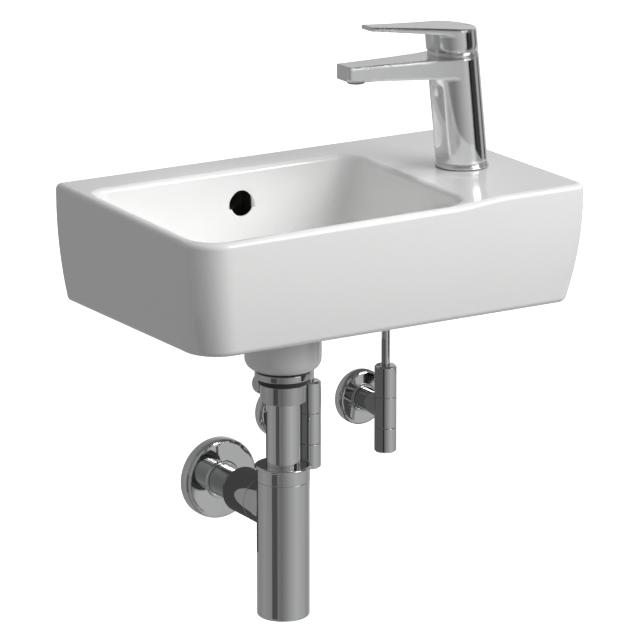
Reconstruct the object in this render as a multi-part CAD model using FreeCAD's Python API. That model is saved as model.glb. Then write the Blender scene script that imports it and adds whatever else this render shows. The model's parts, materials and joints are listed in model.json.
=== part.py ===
"""Wall hung handrinse basin with shelf, single-lever tap, bottle trap and two angle valves.

Millimetres, +Z up. The wall is the plane Y = 0 and the basin reaches towards -Y.
X = 0 is midway between its two wall bolts and Z = 0 on their line.
"""
import FreeCAD
import Part
import math
import os

V = FreeCAD.Vector
X_AXIS = V(1, 0, 0)
Y_AXIS = V(0, 1, 0)
Z_AXIS = V(0, 0, 1)

# ---- basin -------------------------------------------------------------------
basin_left = -200.0
basin_right = 204.5
basin_depth = 250.0
apron_height = 111.0
bolt_drop = 65.0              # bolt line below the shelf
bulge_r = 442.0               # the apron bends inward below the bulge line
bulge_drop = 10.0
corner_left_r = 35.0
corner_right_r = 10.0
top_edge_r = 5.2
bottom_edge_r = 7.0
rim_dip = 6.2                 # front left corner of the rim below the shelf
rim_rise = 2.2                # how much of it the front rim regains before the shelf
rim_ramp_start = 60.0
rim_ramp_end = 122.0

rim_left = 12.0               # from the basin's edge to the bowl
rim_front = 10.5
ledge_back = 37.0
shelf_width = 117.5
bowl_depth = 100.0
bowl_left_slope = 0.09
bowl_right_slope = 0.187
bowl_back_slope = 0.12
bowl_front_slope = 0.10
bowl_front_corner_r = 24.0
bowl_back_corner_r = 18.0
bowl_corner_spread = 0.13     # the corners open out with depth
bowl_floor_r = 26.0
lip_r = 5.2
bowl_wall = 10.0
shell_wall = 12.0
shell_back = 14.0
shelf_thickness = 14.0

overflow_x = -31.0
overflow_hole_r = 11.5
overflow_drop = 31.6
overflow_rib_width = 48.0
overflow_duct_width = 32.0
overflow_duct_height = 26.0
duct_wall = 7.0

fixing_spacing = 200.0
fixing_hole_r = 9.0
fixing_bolt_r = 5.0           # in the wall
bolt_shank_r = 4.8            # in the basin
bolt_in_wall = 60.0
bolt_tip = 6.0
bolt_end = 4.0                # past its nut
bolt_washer_r = 14.0
bolt_washer_t = 2.5
bolt_nut_across = 17.0
bolt_nut_height = 8.0

# ---- waste -------------------------------------------------------------------
drain_x = -35.2
drain_y = -119.0
boss_r = 35.0
boss_edge_r = 11.0
boss_bottom_drop = 167.5
drain_hole_r = 23.0
floor_dish_r = 60.0
floor_dish = 3.0
flange_r = 32.0
flange_thickness = 2.6
flange_seat_gap = 1.0
waste_r = 19.0
waste_wall = 2.0
seal_thickness = 1.5
waste_window_width = 12.0
waste_window_height = 15.0
back_nut_r = 25.8
back_nut_height = 6.5
lower_body_r = 20.9
lower_body_height = 17.0
neck_seal_r = 22.4
neck_seal_height = 5.0
port_r = 8.0
port_nut_r = 11.0
port_nut_length = 14.0
port_reach = 38.0
plug_r = 29.5

# ---- trap --------------------------------------------------------------------
pipe_r = 15.5
pipe_wall = 1.2
spigot_r = 16.0               # end of the outlet pipe inside the wall
ring_nut_r = 24.4
ring_nut_rim_r = 26.0
ring_nut_rim = 3.0
ring_nut_top_drop = 257.3
ring_nut_height = 14.7
ring_nut_wall = 3.0
ring_nut_roof = 2.5
seal_flange = 2.0
trap_r = 24.2
trap_wall = 1.8
trap_bottom_drop = 400.5
trap_edge_r = 3.0
outlet_below_nut = 27.7       # outlet's axis below the ring nut
tube_below_outlet = 34.0
outlet_nut_r = 21.8
outlet_nut_start = 34.0
outlet_nut_end = 73.0
outlet_in_wall = 22.0
trap_rosette_r = 38.2
trap_rosette_depth = 11.0
slip = 0.05                   # radial clearance of a sliding or screwed fit

# ---- angle valves ------------------------------------------------------------
valve_right_x = 120.0
valve_right_y = -47.0
valve_left_x = 33.0
valve_left_y = -54.0
valve_top_drop = 204.2
valve_nut_height = 30.2
valve_body_height = 28.9
valve_handle_height = 24.3
valve_axis_below = 41.3       # axis to the wall below the valve's top
valve_r = 10.4
valve_neck_r = 11.0
valve_thread_r = 10.48
valve_in_wall = 14.0
valve_spigot_r = 8.0
valve_supply_r = 6.0
valve_square_half = 2.4
valve_rosette_r = 26.3
valve_rosette_depth = 9.0
joint_gap = 0.3
riser_r = 4.0
riser_wall = 0.8
riser_left_rise = 52.0        # straight run above the valve
riser_left_drop = 98.0        # straight run below the shelf
riser_left_bend = 26.0
riser_right_rise = 72.0
riser_right_drop = 82.0
riser_right_bend = 22.0

# ---- tap ---------------------------------------------------------------------
tap_x = 147.0
tap_y = -132.5
tap_hole_r = 17.5
tap_lean = 6.0                # degrees, towards the spout
tap_r = 23.5
base_ring_r = 25.0
base_ring_height = 5.0
base_seal_height = 0.8
tap_rim = 105.0
spout_reach = 127.7
spout_tip_half = 11.0
spout_tip_top = 106.9
spout_tip_bottom = 94.3
spout_root_bottom = 87.0
spout_root_x = 36.0
aerator_back = 14.0
aerator_r = 8.5
lever_reach = 103.5
lever_tip_half = 8.7
lever_top = 131.3
lever_top_x = 14.0            # reach at which the top has that height
lever_rise = 0.10
lever_tip_bottom = 137.5
lever_root_bottom = 127.6
lever_root_x = 34.0
hub_bottom = 109.8
pivot_drop = 5.0              # lift pivot below the tap's rim
dome_r = 24.2
dome_shell = 1.4
dome_opening_r = 13.5
lever_clearance = 0.5
cartridge_r = 14.0
cartridge_bottom = 66.0
cartridge_top = 92.0
cartridge_neck_r = 9.6
cartridge_neck_top = 98.0
nut_bore_r = 17.0
rotor_r = 7.9
spindle_half = 3.0
spindle_reach = 29.0          # above the lift pivot
screw_r = 1.9
screw_reach = 27.0            # above the lift pivot
cap_r = 3.0
cap_depth = 4.0
scoop_r = 45.0
scoop_half_angle = 30.0
stud_r = 4.0
stud_offset = 10.0
stud_under = 42.0             # below the shelf's underside
stud_in_tap = 6.5
stud_nut_across = 13.0
stud_nut_height = 20.0
deck_gasket_t = 3.0
deck_washer_t = 2.5
tail_offset_x = 6.5
tail_offset_y = 5.0

# ---- places that follow ------------------------------------------------------
deck_z = bolt_drop
bulge_z = deck_z - bulge_drop
floor_z = deck_z - bowl_depth
bowl_left = basin_left + rim_left
bowl_right = basin_right - shelf_width
bowl_front = -basin_depth + rim_front
bowl_back = -ledge_back
seat_z = floor_z - floor_dish - flange_thickness - seal_thickness - flange_seat_gap
boss_bottom_z = deck_z - boss_bottom_drop
back_nut_top_z = boss_bottom_z - seal_thickness
back_nut_bottom_z = back_nut_top_z - back_nut_height
lower_body_top_z = back_nut_bottom_z - neck_seal_height
lower_body_bottom_z = lower_body_top_z - lower_body_height
port_z = (lower_body_top_z + lower_body_bottom_z) / 2
ring_nut_top_z = deck_z - ring_nut_top_drop
ring_nut_bottom_z = ring_nut_top_z - ring_nut_height
trap_bottom_z = deck_z - trap_bottom_drop
outlet_z = ring_nut_bottom_z - outlet_below_nut
valve_top_z = deck_z - valve_top_drop
valve_joint_1_z = valve_top_z - valve_nut_height
valve_joint_2_z = valve_joint_1_z - valve_body_height
valve_bottom_z = valve_joint_2_z - valve_handle_height
valve_axis_z = valve_top_z - valve_axis_below
lean_tan = math.tan(math.radians(tap_lean))
swivel_x = -lean_tan * tap_rim
pivot_z = tap_rim - pivot_drop
spindle_top_z = pivot_z + spindle_reach
screw_z = pivot_z + screw_reach
cap_x = swivel_x + tap_r - cap_depth


# ---- shape helpers -----------------------------------------------------------
def outline(x0, x1, y0, y1, r_front, r_back, z):
    """Closed rectangle at height z, y0 the front and y1 the back, with rounded corners."""
    corners = [(x0, y0, 1, 1, r_front), (x1, y0, -1, 1, r_front),
               (x1, y1, -1, -1, r_back), (x0, y1, 1, -1, r_back)]
    ends = []
    edges = []
    for index, (x, y, sx, sy, r) in enumerate(corners):
        along_y = V(x, y + sy * r, z)
        along_x = V(x + sx * r, y, z)
        first, last = (along_y, along_x) if index % 2 == 0 else (along_x, along_y)
        if r > 0:
            inset = r * (1 - math.sqrt(0.5))
            middle = V(x + sx * inset, y + sy * inset, z)
            edges.append(Part.Arc(first, middle, last).toShape())
        ends.append((first, last))
    for index in range(4):
        start = ends[index][1]
        edges.append(Part.LineSegment(start, ends[(index + 1) % 4][0]).toShape())
    return Part.Wire(Part.__sortEdges__(edges))


def loft(wires):
    return Part.makeLoft(wires, True, True)


def turned(profile, x=0.0, y=0.0):
    """Solid of revolution about the vertical line through x, y from (radius, z) points."""
    points = [V(r, 0, z) for r, z in profile]
    face = Part.Face(Part.makePolygon(points + points[:1]))
    solid = face.revolve(V(0, 0, 0), Z_AXIS, 360)
    solid.translate(V(x, y, 0))
    return solid


def ring(r_out, r_in, z0, z1, x=0.0, y=0.0):
    return turned([(r_in, z0), (r_out, z0), (r_out, z1), (r_in, z1)], x, y)


def disc(r, z0, z1, x=0.0, y=0.0):
    return Part.makeCylinder(r, z1 - z0, V(x, y, z0))


def to_wall(shape, x, z):
    """Turn a solid built about the vertical axis so that its up points to the wall."""
    turned_shape = shape.copy()
    turned_shape.rotate(V(0, 0, 0), X_AXIS, -90)
    turned_shape.translate(V(x, 0, z))
    return turned_shape


def box(x0, x1, y0, y1, z0, z1):
    return Part.makeBox(x1 - x0, y1 - y0, z1 - z0, V(x0, y0, z0))


def round_circles(solid, size, z=None, r=None):
    """Fillet the circular edges at height z and of radius r."""
    chosen = []
    for edge in solid.Edges:
        curve = edge.Curve
        if not isinstance(curve, Part.Circle):
            continue
        if z is not None and abs(curve.Center.z - z) > 0.01:
            continue
        if r is not None and abs(curve.Radius - r) > 0.01:
            continue
        chosen.append(edge)
    return solid.makeFillet(size, chosen)


def hexagon(across_flats, z0, z1, x=0.0, y=0.0):
    corner = across_flats / math.sqrt(3)
    points = []
    for step in range(7):
        angle = math.radians(60 * step)
        points.append(V(x + corner * math.cos(angle), y + corner * math.sin(angle), z0))
    return Part.Face(Part.makePolygon(points)).extrude(V(0, 0, z1 - z0))


def bent_path(points, bend_r):
    """Straight runs joined by tangent arcs."""
    edges = []
    start = points[0]
    for before, corner, after in zip(points, points[1:], points[2:]):
        inward = (before - corner).normalize()
        outward = (after - corner).normalize()
        half = (math.pi - inward.getAngle(outward)) / 2
        reach = bend_r * math.tan(half)
        first = corner + inward * reach
        last = corner + outward * reach
        bisector = (inward + outward).normalize()
        middle = corner + bisector * (bend_r / math.cos(half) - bend_r)
        edges.append(Part.LineSegment(start, first).toShape())
        edges.append(Part.Arc(first, middle, last).toShape())
        start = last
    edges.append(Part.LineSegment(start, points[-1]).toShape())
    return Part.Wire(edges)


def swept(path, r):
    start = path.Edges[0].Vertexes[0].Point
    direction = path.Edges[0].tangentAt(path.Edges[0].FirstParameter)
    circle = Part.Wire(Part.Circle(start, direction, r).toShape())
    return path.makePipeShell([circle], True, False)


def save(name, *solids):
    shape = solids[0] if len(solids) == 1 else Part.Compound(list(solids))
    shape.exportStep("parts/" + name + ".step")


# ---- basin -------------------------------------------------------------------
def bulged_side(u, wall, inward, z_top, z_bottom, point):
    """Line and arc of one apron side in its profile, from z_top down to z_bottom."""
    r = bulge_r - wall
    ends = []
    for z in (bulge_z, (bulge_z + z_bottom) / 2, z_bottom):
        inset = r - math.sqrt(r ** 2 - (bulge_z - z) ** 2)
        ends.append(point(u + inward * (wall + inset), z))
    line = Part.LineSegment(point(u + inward * wall, z_top), ends[0]).toShape()
    return [line, Part.Arc(ends[0], ends[1], ends[2]).toShape()]


def profile_face(left_side, right_side):
    """Face between two sides that both run downwards."""
    first = left_side[0].Vertexes[0].Point
    last = left_side[-1].Vertexes[-1].Point
    top = Part.LineSegment(first, right_side[0].Vertexes[0].Point).toShape()
    low = Part.LineSegment(last, right_side[-1].Vertexes[-1].Point).toShape()
    return Part.Face(Part.Wire(Part.__sortEdges__(left_side + right_side + [top, low])))


def basin_block(wall, back, z_top, z_bottom):
    """Apron block drawn in by a wall, bent inward on three sides and flat at the back."""
    high = deck_z + 1.0
    across = profile_face(
        bulged_side(basin_left, wall, 1, high, z_bottom, lambda u, z: V(u, 0, z)),
        bulged_side(basin_right, wall, -1, high, z_bottom, lambda u, z: V(u, 0, z)))
    back_side = [Part.LineSegment(V(basin_left, -back, high), V(basin_left, -back, z_bottom)).toShape()]
    along = profile_face(
        bulged_side(-basin_depth, wall, 1, high, z_bottom, lambda u, z: V(basin_left, u, z)), back_side)
    block = across.extrude(V(0, -2 * basin_depth, 0)).common(along.extrude(V(basin_right - basin_left, 0, 0)))
    for x, r in ((basin_left, corner_left_r), (basin_right, corner_right_r)):
        corner = [e for e in block.Edges if is_front_corner(e, x)]
        block = block.makeFillet(r - wall if r > wall + 2.0 else 2.0, corner)
    return block.common(box(basin_left, basin_right, -basin_depth, 0.0, z_bottom, z_top))


def is_front_corner(edge, x):
    """Upright edges where the front meets the side near x."""
    bounds = edge.BoundBox
    reach = corner_left_r
    return (bounds.ZLength > 5.0 and bounds.YMax < -basin_depth + reach
            and abs((bounds.XMin + bounds.XMax) / 2 - x) < reach)


def bowl_block(grow, z_top, z_bottom):
    """The bowl's hollow, or its outside where it grows by the wall."""
    wires = []
    for z in (z_top, z_bottom):
        down = deck_z - z
        spread = bowl_corner_spread * down + grow
        wires.append(outline(bowl_left + bowl_left_slope * down - grow,
                             bowl_right - bowl_right_slope * down + grow,
                             bowl_front + bowl_front_slope * down - grow,
                             bowl_back - bowl_back_slope * down + grow,
                             bowl_front_corner_r + spread, bowl_back_corner_r + spread, z))
    block = loft(wires)
    floor_edges = [edge for edge in block.Edges if edge.BoundBox.ZMax < z_bottom + 0.01]
    return block.makeFillet(bowl_floor_r + grow, floor_edges)


def rim_cutter():
    """Everything above the shelf and above the rim that dips to the front left."""
    beyond = 30.0
    high = deck_z + 60.0
    left = basin_left - beyond
    right = basin_right + beyond
    wires = []
    for y, share in ((beyond, -beyond / basin_depth), (-basin_depth - beyond, 1 + beyond / basin_depth)):
        z_left = deck_z - rim_dip * share
        z_ramp = deck_z - (rim_dip - rim_rise) * share
        third = (rim_ramp_end - rim_ramp_start) / 3
        slope = (z_ramp - z_left) / (rim_ramp_start - left)
        ramp = Part.BezierCurve()
        ramp.setPoles([V(rim_ramp_start, y, z_ramp),
                       V(rim_ramp_start + third, y, z_ramp + slope * third),
                       V(rim_ramp_end - third, y, deck_z),
                       V(rim_ramp_end, y, deck_z)])
        wires.append(Part.Wire([
            Part.LineSegment(V(left, y, z_left), V(rim_ramp_start, y, z_ramp)).toShape(),
            ramp.toShape(),
            Part.LineSegment(V(rim_ramp_end, y, deck_z), V(right, y, deck_z)).toShape(),
            Part.LineSegment(V(right, y, deck_z), V(right, y, high)).toShape(),
            Part.LineSegment(V(right, y, high), V(left, y, high)).toShape(),
            Part.LineSegment(V(left, y, high), V(left, y, z_left)).toShape()]))
    return loft(wires)


def overflow_prism(width, wall):
    """Side view of the overflow rib, or of the duct in it, drawn out to a width."""
    top = deck_z - shelf_thickness - wall
    back = -shell_back + 1.0 - wall
    bend = floor_z + 20.0
    low = seat_z - 32.0 + wall
    reach = drain_y + drain_hole_r + 4.0 if wall > 0 else drain_y
    high = low + overflow_duct_height - 2 * wall
    front_top = bowl_back - bowl_wall + 1.0 + wall
    points = [V(0, back, top),
              V(0, back, bend),
              V(0, drain_y + boss_r + 18.0 - wall, low),
              V(0, reach, low),
              V(0, reach, high),
              V(0, bowl_back - 38.0 + wall, high),
              V(0, front_top - bowl_back_slope * bowl_depth * 0.6 + wall, bend + 6.0),
              V(0, front_top, top)]
    face = Part.Face(Part.makePolygon(points + points[:1]))
    prism = face.extrude(V(width, 0, 0))
    prism.translate(V(drain_x - width / 2, 0, 0))
    return prism


def drain_boss():
    boss = disc(boss_r, boss_bottom_z, floor_z, drain_x, drain_y)
    return round_circles(boss, boss_edge_r, boss_bottom_z)


def basin_outside():
    """The glazed block before it is hollowed, its rim and lower edge rounded."""
    bottom_z = deck_z - apron_height
    body = basin_block(0.0, 0.0, deck_z + 1.0, bottom_z).cut(rim_cutter())
    low = [e for e in body.Edges if e.BoundBox.ZMax < bottom_z + 0.01 and e.BoundBox.YMin < -1.0]
    body = body.makeFillet(bottom_edge_r, low)
    rim = [e for e in body.Edges if is_rim_edge(e) and e.BoundBox.YMin < -1.0]
    return body.makeFillet(top_edge_r, rim)


def basin_inside():
    """Outside of the bowl with the drain boss and the overflow rib, as seen from below."""
    bowl_outside = bowl_block(bowl_wall, deck_z, floor_z - floor_dish - bowl_wall)
    inside = bowl_outside.fuse([drain_boss(), overflow_prism(overflow_rib_width, 0.0)])
    return inside.common(box(basin_left, basin_right, -basin_depth + shell_wall, -shell_back + 2.0,
                             boss_bottom_z - 1.0, deck_z - shelf_thickness + 1.0))


def basin():
    hollow = basin_block(shell_wall, shell_back, deck_z - shelf_thickness, deck_z - apron_height - 20.0)
    body = basin_outside().cut(bowl_block(0.0, deck_z + 12.0, floor_z))
    body = body.makeFillet(lip_r, [e for e in body.Edges if is_rim_edge(e) and is_lip_edge(e)])
    body = body.cut(hollow.cut(basin_inside())).fuse(drain_boss())
    dish = Part.makeCone(flange_r + 0.6, floor_dish_r, floor_dish,
                         V(drain_x, drain_y, floor_z - floor_dish))
    seat = disc(flange_r + 0.6, seat_z, floor_z, drain_x, drain_y)
    bore = disc(drain_hole_r, boss_bottom_z - 1.0, seat_z + 1.0, drain_x, drain_y)
    duct = overflow_prism(overflow_duct_width, duct_wall)
    body = body.cut([dish, seat, bore, duct, overflow_hole()])
    holes = [disc(tap_hole_r, 0.0, deck_z + 5.0, tap_x, tap_y)]
    for x in (-fixing_spacing / 2, fixing_spacing / 2):
        holes.append(to_wall(disc(fixing_hole_r, -shell_back - 5.0, 5.0), x, 0.0))
    return body.cut(holes).removeSplitter()


def is_rim_edge(edge):
    """Edges that lie in the rim's surface."""
    bounds = edge.BoundBox
    return bounds.ZMin > deck_z - rim_dip - 1.0 and bounds.ZLength < 8.0


def is_lip_edge(edge):
    """Edges no farther out than the bowl's opening."""
    bounds = edge.BoundBox
    return (bounds.XMin > bowl_left - 2.0 and bounds.XMax < bowl_right + 2.0
            and bounds.YMin > bowl_front - 2.0 and bounds.YMax < bowl_back + 2.0)


def overflow_hole():
    z = deck_z - overflow_drop
    y_wall = bowl_back - bowl_back_slope * overflow_drop
    hole = disc(overflow_hole_r, -30.0, 20.0)
    flare = Part.makeCone(overflow_hole_r, overflow_hole_r + 3.0, 3.0, V(0, 0, 0))
    flare.rotate(V(0, 0, 0), X_AXIS, 180)
    tool = hole.fuse(flare)
    tool.rotate(V(0, 0, 0), X_AXIS, -90 + math.degrees(math.atan(bowl_back_slope)))
    tool.translate(V(overflow_x, y_wall + 2.0, z))
    return tool


def wall_fixings():
    """Hanger bolts with their bushes, washers and nuts, one pair of each."""
    face = -shell_back
    under_washer = face - bolt_washer_t
    under_nut = under_washer - bolt_nut_height
    parts = {"hanger_bolts": [], "bolt_bushes": [], "bolt_washers": [], "bolt_nuts": []}
    for x in (-fixing_spacing / 2, fixing_spacing / 2):
        bolt = turned([(0, under_nut - bolt_end), (bolt_shank_r - 1.0, under_nut - bolt_end),
                       (bolt_shank_r, under_nut - bolt_end + 1.0), (bolt_shank_r, 1.0),
                       (fixing_bolt_r, 1.0), (fixing_bolt_r, bolt_in_wall - bolt_tip),
                       (1.0, bolt_in_wall), (0, bolt_in_wall)])
        parts["hanger_bolts"].append(to_wall(bolt, x, 0.0))
        bush = ring(fixing_hole_r - slip, bolt_shank_r + slip, face + 0.1, -0.6)
        parts["bolt_bushes"].append(to_wall(bush, x, 0.0))
        washer = ring(bolt_washer_r, bolt_shank_r + joint_gap, under_washer, face)
        parts["bolt_washers"].append(to_wall(washer, x, 0.0))
        nut = hexagon(bolt_nut_across, under_nut, under_washer)
        nut = nut.cut(disc(bolt_shank_r + slip, under_nut - 1.0, 0.0))
        parts["bolt_nuts"].append(to_wall(nut, x, 0.0))
    for name, solids in parts.items():
        save(name, *solids)


# ---- waste -------------------------------------------------------------------
def waste_upper():
    """Flange in the bowl and the threaded tube below it, with its overflow windows."""
    top = seat_z + seal_thickness + flange_thickness
    tube_end = lower_body_top_z - 6.0
    bore_r = waste_r - waste_wall
    profile = [(bore_r, tube_end), (waste_r, tube_end), (waste_r, seat_z + seal_thickness),
               (flange_r - 1.5, seat_z + seal_thickness), (flange_r, seat_z + seal_thickness + 1.0),
               (flange_r - 1.0, top), (bore_r + 4.0, top), (bore_r, top - 3.0)]
    tube = turned(profile, drain_x, drain_y)
    low = seat_z - 32.0 + duct_wall
    for x_half, y_half in ((waste_window_width / 2, waste_r + 3.0), (waste_r + 3.0, waste_window_width / 2)):
        tube = tube.cut(box(drain_x - x_half, drain_x + x_half, drain_y - y_half, drain_y + y_half,
                            low, low + waste_window_height))
    return tube


def waste_guide():
    """Three-armed guide in the tube with the sleeve that holds the plug's stem."""
    z0 = seat_z - 22.0
    z1 = z0 + 14.0
    bore_r = waste_r - waste_wall
    sleeve = ring(6.0, 3.6, z0, z1)
    hub = ring(bore_r - slip, bore_r - 2.0, z0, z0 + 5.0)
    guide = sleeve.fuse(hub)
    for turn in (0, 120, 240):
        arm = box(4.5, bore_r - 1.0, -1.2, 1.2, z0, z0 + 5.0)
        arm.rotate(V(0, 0, 0), Z_AXIS, turn + 30)
        guide = guide.fuse(arm)
    guide.translate(V(drain_x, drain_y, 0))
    return guide.removeSplitter()


def waste_plug():
    """Domed plug on its stem, shown pushed down onto its seal."""
    top = seat_z + seal_thickness + flange_thickness
    base = top + 1.4
    profile = [(0, seat_z - 20.0), (3.5, seat_z - 20.0), (3.5, base), (plug_r - 9.0, base),
               (plug_r - 9.0, base - 0.3), (plug_r - 3.0, base - 0.3),
               (plug_r, base + 0.6), (plug_r, base + 1.8), (plug_r - 4.0, base + 3.1),
               (0, base + 4.2)]
    return turned(profile, drain_x, drain_y)


def waste_parts():
    save("waste_flange", waste_upper())
    save("flange_seal", ring(flange_r - 2.0, drain_hole_r + 0.5, seat_z, seat_z + seal_thickness,
                             drain_x, drain_y))
    save("waste_guide", waste_guide())
    save("waste_plug", waste_plug())
    plug_seat = seat_z + seal_thickness + flange_thickness + 1.4
    save("plug_seal", ring(plug_r - 9.2, plug_r - 12.4, plug_seat - 1.3, plug_seat, drain_x, drain_y))
    save("boss_gasket", ring(back_nut_r - 0.8, waste_r + slip, back_nut_top_z, boss_bottom_z,
                             drain_x, drain_y))
    nut = ring(back_nut_r, waste_r + slip, back_nut_bottom_z, back_nut_top_z, drain_x, drain_y)
    save("back_nut", round_circles(nut, 1.0, None, back_nut_r))
    save("waste_neck_seal", ring(neck_seal_r, waste_r + slip, lower_body_top_z, back_nut_bottom_z,
                                 drain_x, drain_y))
    save("waste_lower_body", waste_lower())
    save("port_nut", port_nut())


def waste_lower():
    """Collar that screws onto the waste, carries the tail tube and has a port at the back."""
    z1 = lower_body_top_z
    z0 = lower_body_bottom_z
    collar = turned([(waste_r + slip, z1), (lower_body_r - 0.6, z1), (lower_body_r, z1 - 0.6),
                     (lower_body_r, z0 + 0.6), (lower_body_r - 0.6, z0), (pipe_r + slip, z0),
                     (pipe_r + slip, z0 + 9.0), (pipe_r - 2.0, z0 + 9.0),
                     (pipe_r - 2.0, z1 - 6.5), (waste_r + slip, z1 - 6.5)], drain_x, drain_y)
    reach = drain_y + port_reach - 3.0
    neck = to_wall(disc(port_r, drain_y + waste_r + 2 * slip, reach), drain_x, port_z)
    inner = to_wall(disc(port_r - 2.5, drain_y, reach + 1.0), drain_x, port_z)
    return collar.fuse(neck).cut(inner).removeSplitter()


def port_nut():
    """Closed cap nut on the rear port."""
    end = drain_y + port_reach
    start = end - port_nut_length
    cap = turned([(port_r + slip, start), (port_nut_r, start), (port_nut_r, end), (0, end),
                  (0, end - 3.0), (port_r + slip, end - 3.0)])
    cap = round_circles(cap, 2.5, end, port_nut_r)
    return to_wall(cap, drain_x, port_z)


# ---- trap --------------------------------------------------------------------
def trap_body():
    """Cup with its threaded neck and the outlet stub towards the wall."""
    neck_r = ring_nut_r - ring_nut_wall
    neck_top = ring_nut_top_z - ring_nut_roof - seal_flange
    inner = trap_r - trap_wall
    cup = turned([(0, trap_bottom_z), (trap_r, trap_bottom_z), (trap_r, ring_nut_bottom_z),
                  (neck_r - slip, ring_nut_bottom_z), (neck_r - slip, neck_top), (0, neck_top)])
    cup = round_circles(cup, trap_edge_r, trap_bottom_z, trap_r)
    stub_r = outlet_nut_r - 2.2
    stub = turned([(0, 0), (trap_r - 2.0, 0), (trap_r - 2.0, 20.0), (outlet_nut_r, outlet_nut_start - 0.4),
                   (stub_r - slip, outlet_nut_start - 0.4), (stub_r - slip, outlet_nut_end - 9.0),
                   (0, outlet_nut_end - 9.0)])
    stub = to_wall(stub, 0.0, outlet_z)
    cavity = turned([(0, trap_bottom_z + 3.0), (inner, trap_bottom_z + 3.0),
                     (inner, ring_nut_bottom_z - 4.0), (pipe_r + 2.0, ring_nut_bottom_z),
                     (pipe_r + 2.0, neck_top + 1.0), (0, neck_top + 1.0)])
    outlet = to_wall(disc(pipe_r + slip, 0.0, outlet_nut_end), 0.0, outlet_z)
    body = cup.fuse(stub).cut([cavity, outlet]).removeSplitter()
    body.translate(V(drain_x, drain_y, 0))
    return body


def trap_parts():
    tube_top = lower_body_bottom_z + 9.0 - 0.2
    tube_end = outlet_z - tube_below_outlet
    save("tail_tube", ring(pipe_r, pipe_r - pipe_wall, tube_end, tube_top, drain_x, drain_y))
    nut_inner = ring_nut_r - ring_nut_wall
    roof = ring_nut_top_z - ring_nut_roof
    foot = ring_nut_bottom_z + joint_gap
    under_rim = ring_nut_top_z - ring_nut_rim
    nut = turned([(pipe_r + 0.3, ring_nut_top_z), (ring_nut_rim_r, ring_nut_top_z),
                  (ring_nut_rim_r, under_rim), (ring_nut_r, under_rim), (ring_nut_r, foot), (nut_inner, foot), (nut_inner, roof),
                  (pipe_r + 0.3, roof)], drain_x, drain_y)
    save("trap_ring_nut", round_circles(nut, 1.3, None, ring_nut_rim_r))
    seal = turned([(pipe_r + slip, roof), (nut_inner - 1.0, roof), (nut_inner - 1.0, roof - seal_flange),
                   (pipe_r + 1.9, roof - seal_flange), (pipe_r + 1.0, roof - seal_flange - 5.0),
                   (pipe_r + slip, roof - seal_flange - 5.0)], drain_x, drain_y)
    save("trap_tube_seal", seal)
    save("trap_body", trap_body())
    y0 = drain_y + outlet_nut_start
    y1 = drain_y + outlet_nut_end
    stub_r = outlet_nut_r - 2.2
    nut = turned([(stub_r, y0), (outlet_nut_r, y0), (outlet_nut_r - 0.6, y1 - 1.5),
                  (outlet_nut_r - 2.1, y1), (pipe_r + 0.3, y1), (pipe_r + 0.3, y1 - 2.5),
                  (stub_r, y1 - 2.5)])
    save("outlet_nut", to_wall(nut, drain_x, outlet_z))
    seal = ring(stub_r - 0.4, pipe_r + slip, y1 - 9.0 + 0.1, y1 - 2.5)
    save("outlet_seal", to_wall(seal, drain_x, outlet_z))
    bore_r = pipe_r - pipe_wall
    pipe = turned([(bore_r, y0 + 6.0), (pipe_r, y0 + 6.0), (pipe_r, 0), (spigot_r, 0),
                   (spigot_r, outlet_in_wall), (bore_r, outlet_in_wall)])
    save("outlet_pipe", to_wall(pipe, drain_x, outlet_z))
    save("trap_rosette", to_wall(rosette(trap_rosette_r, trap_rosette_depth, pipe_r, 5.0), drain_x, outlet_z))


def rosette(r, depth, bore_r, edge_r):
    """Round wall cover, hollow at the back, with a short collar round the pipe."""
    wall = 1.2
    arc = []
    for step in range(6):
        angle = math.radians(90 - 18 * step)
        arc.append((r - edge_r + edge_r * math.cos(angle), -depth + edge_r - edge_r * math.sin(angle)))
    outer = [(bore_r + 0.3, -depth - 2.0), (bore_r + 1.8, -depth - 2.0), (bore_r + 2.6, -depth - 0.4)]
    outer += [(x, z) for x, z in arc]
    inner = [(r, 0), (r - wall, 0), (r - wall, -depth + edge_r), (r - edge_r, -depth + wall),
             (bore_r + 0.3, -depth + wall)]
    return turned(outer + inner)


# ---- angle valves ------------------------------------------------------------
def valve_body(x, y):
    """Round body with the neck and thread towards the wall."""
    core = disc(valve_r, valve_joint_2_z, valve_joint_1_z, x, y)
    spigot = disc(valve_spigot_r - slip, valve_joint_1_z, valve_top_z - 9.0, x, y)
    neck = turned([(0, y), (valve_r - 0.6, y), (valve_neck_r, y + 12.0),
                   (valve_neck_r, -2.0), (valve_thread_r, -1.0), (valve_thread_r, valve_in_wall - 1.0),
                   (valve_thread_r - 1.0, valve_in_wall), (0, valve_in_wall)])
    body = core.fuse([spigot, to_wall(neck, x, valve_axis_z)])
    bore = disc(riser_r + slip, valve_joint_1_z - 12.0, valve_top_z, x, y)
    well = disc(valve_r - 3.0, valve_joint_2_z - 1.0, valve_joint_2_z + 8.0, x, y)
    supply = to_wall(disc(valve_supply_r, y, valve_in_wall + 1.0), x, valve_axis_z)
    return body.cut([bore, well, supply]).removeSplitter()


def valve_nut(x, y):
    top = valve_top_z
    foot = valve_joint_1_z + joint_gap
    profile = [(valve_spigot_r, foot), (valve_r, foot), (valve_r, top - 1.5), (valve_r - 1.5, top),
               (riser_r + 0.3, top), (riser_r + 0.3, top - 4.0), (valve_spigot_r, top - 8.0)]
    return turned(profile, x, y)


def valve_olive(x, y):
    top = valve_top_z
    return turned([(riser_r + slip, top - 4.6), (riser_r + 0.6, top - 4.6), (riser_r + 2.0, top - 6.6),
                   (riser_r + 0.6, top - 8.6), (riser_r + slip, top - 8.6)], x, y)


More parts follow.
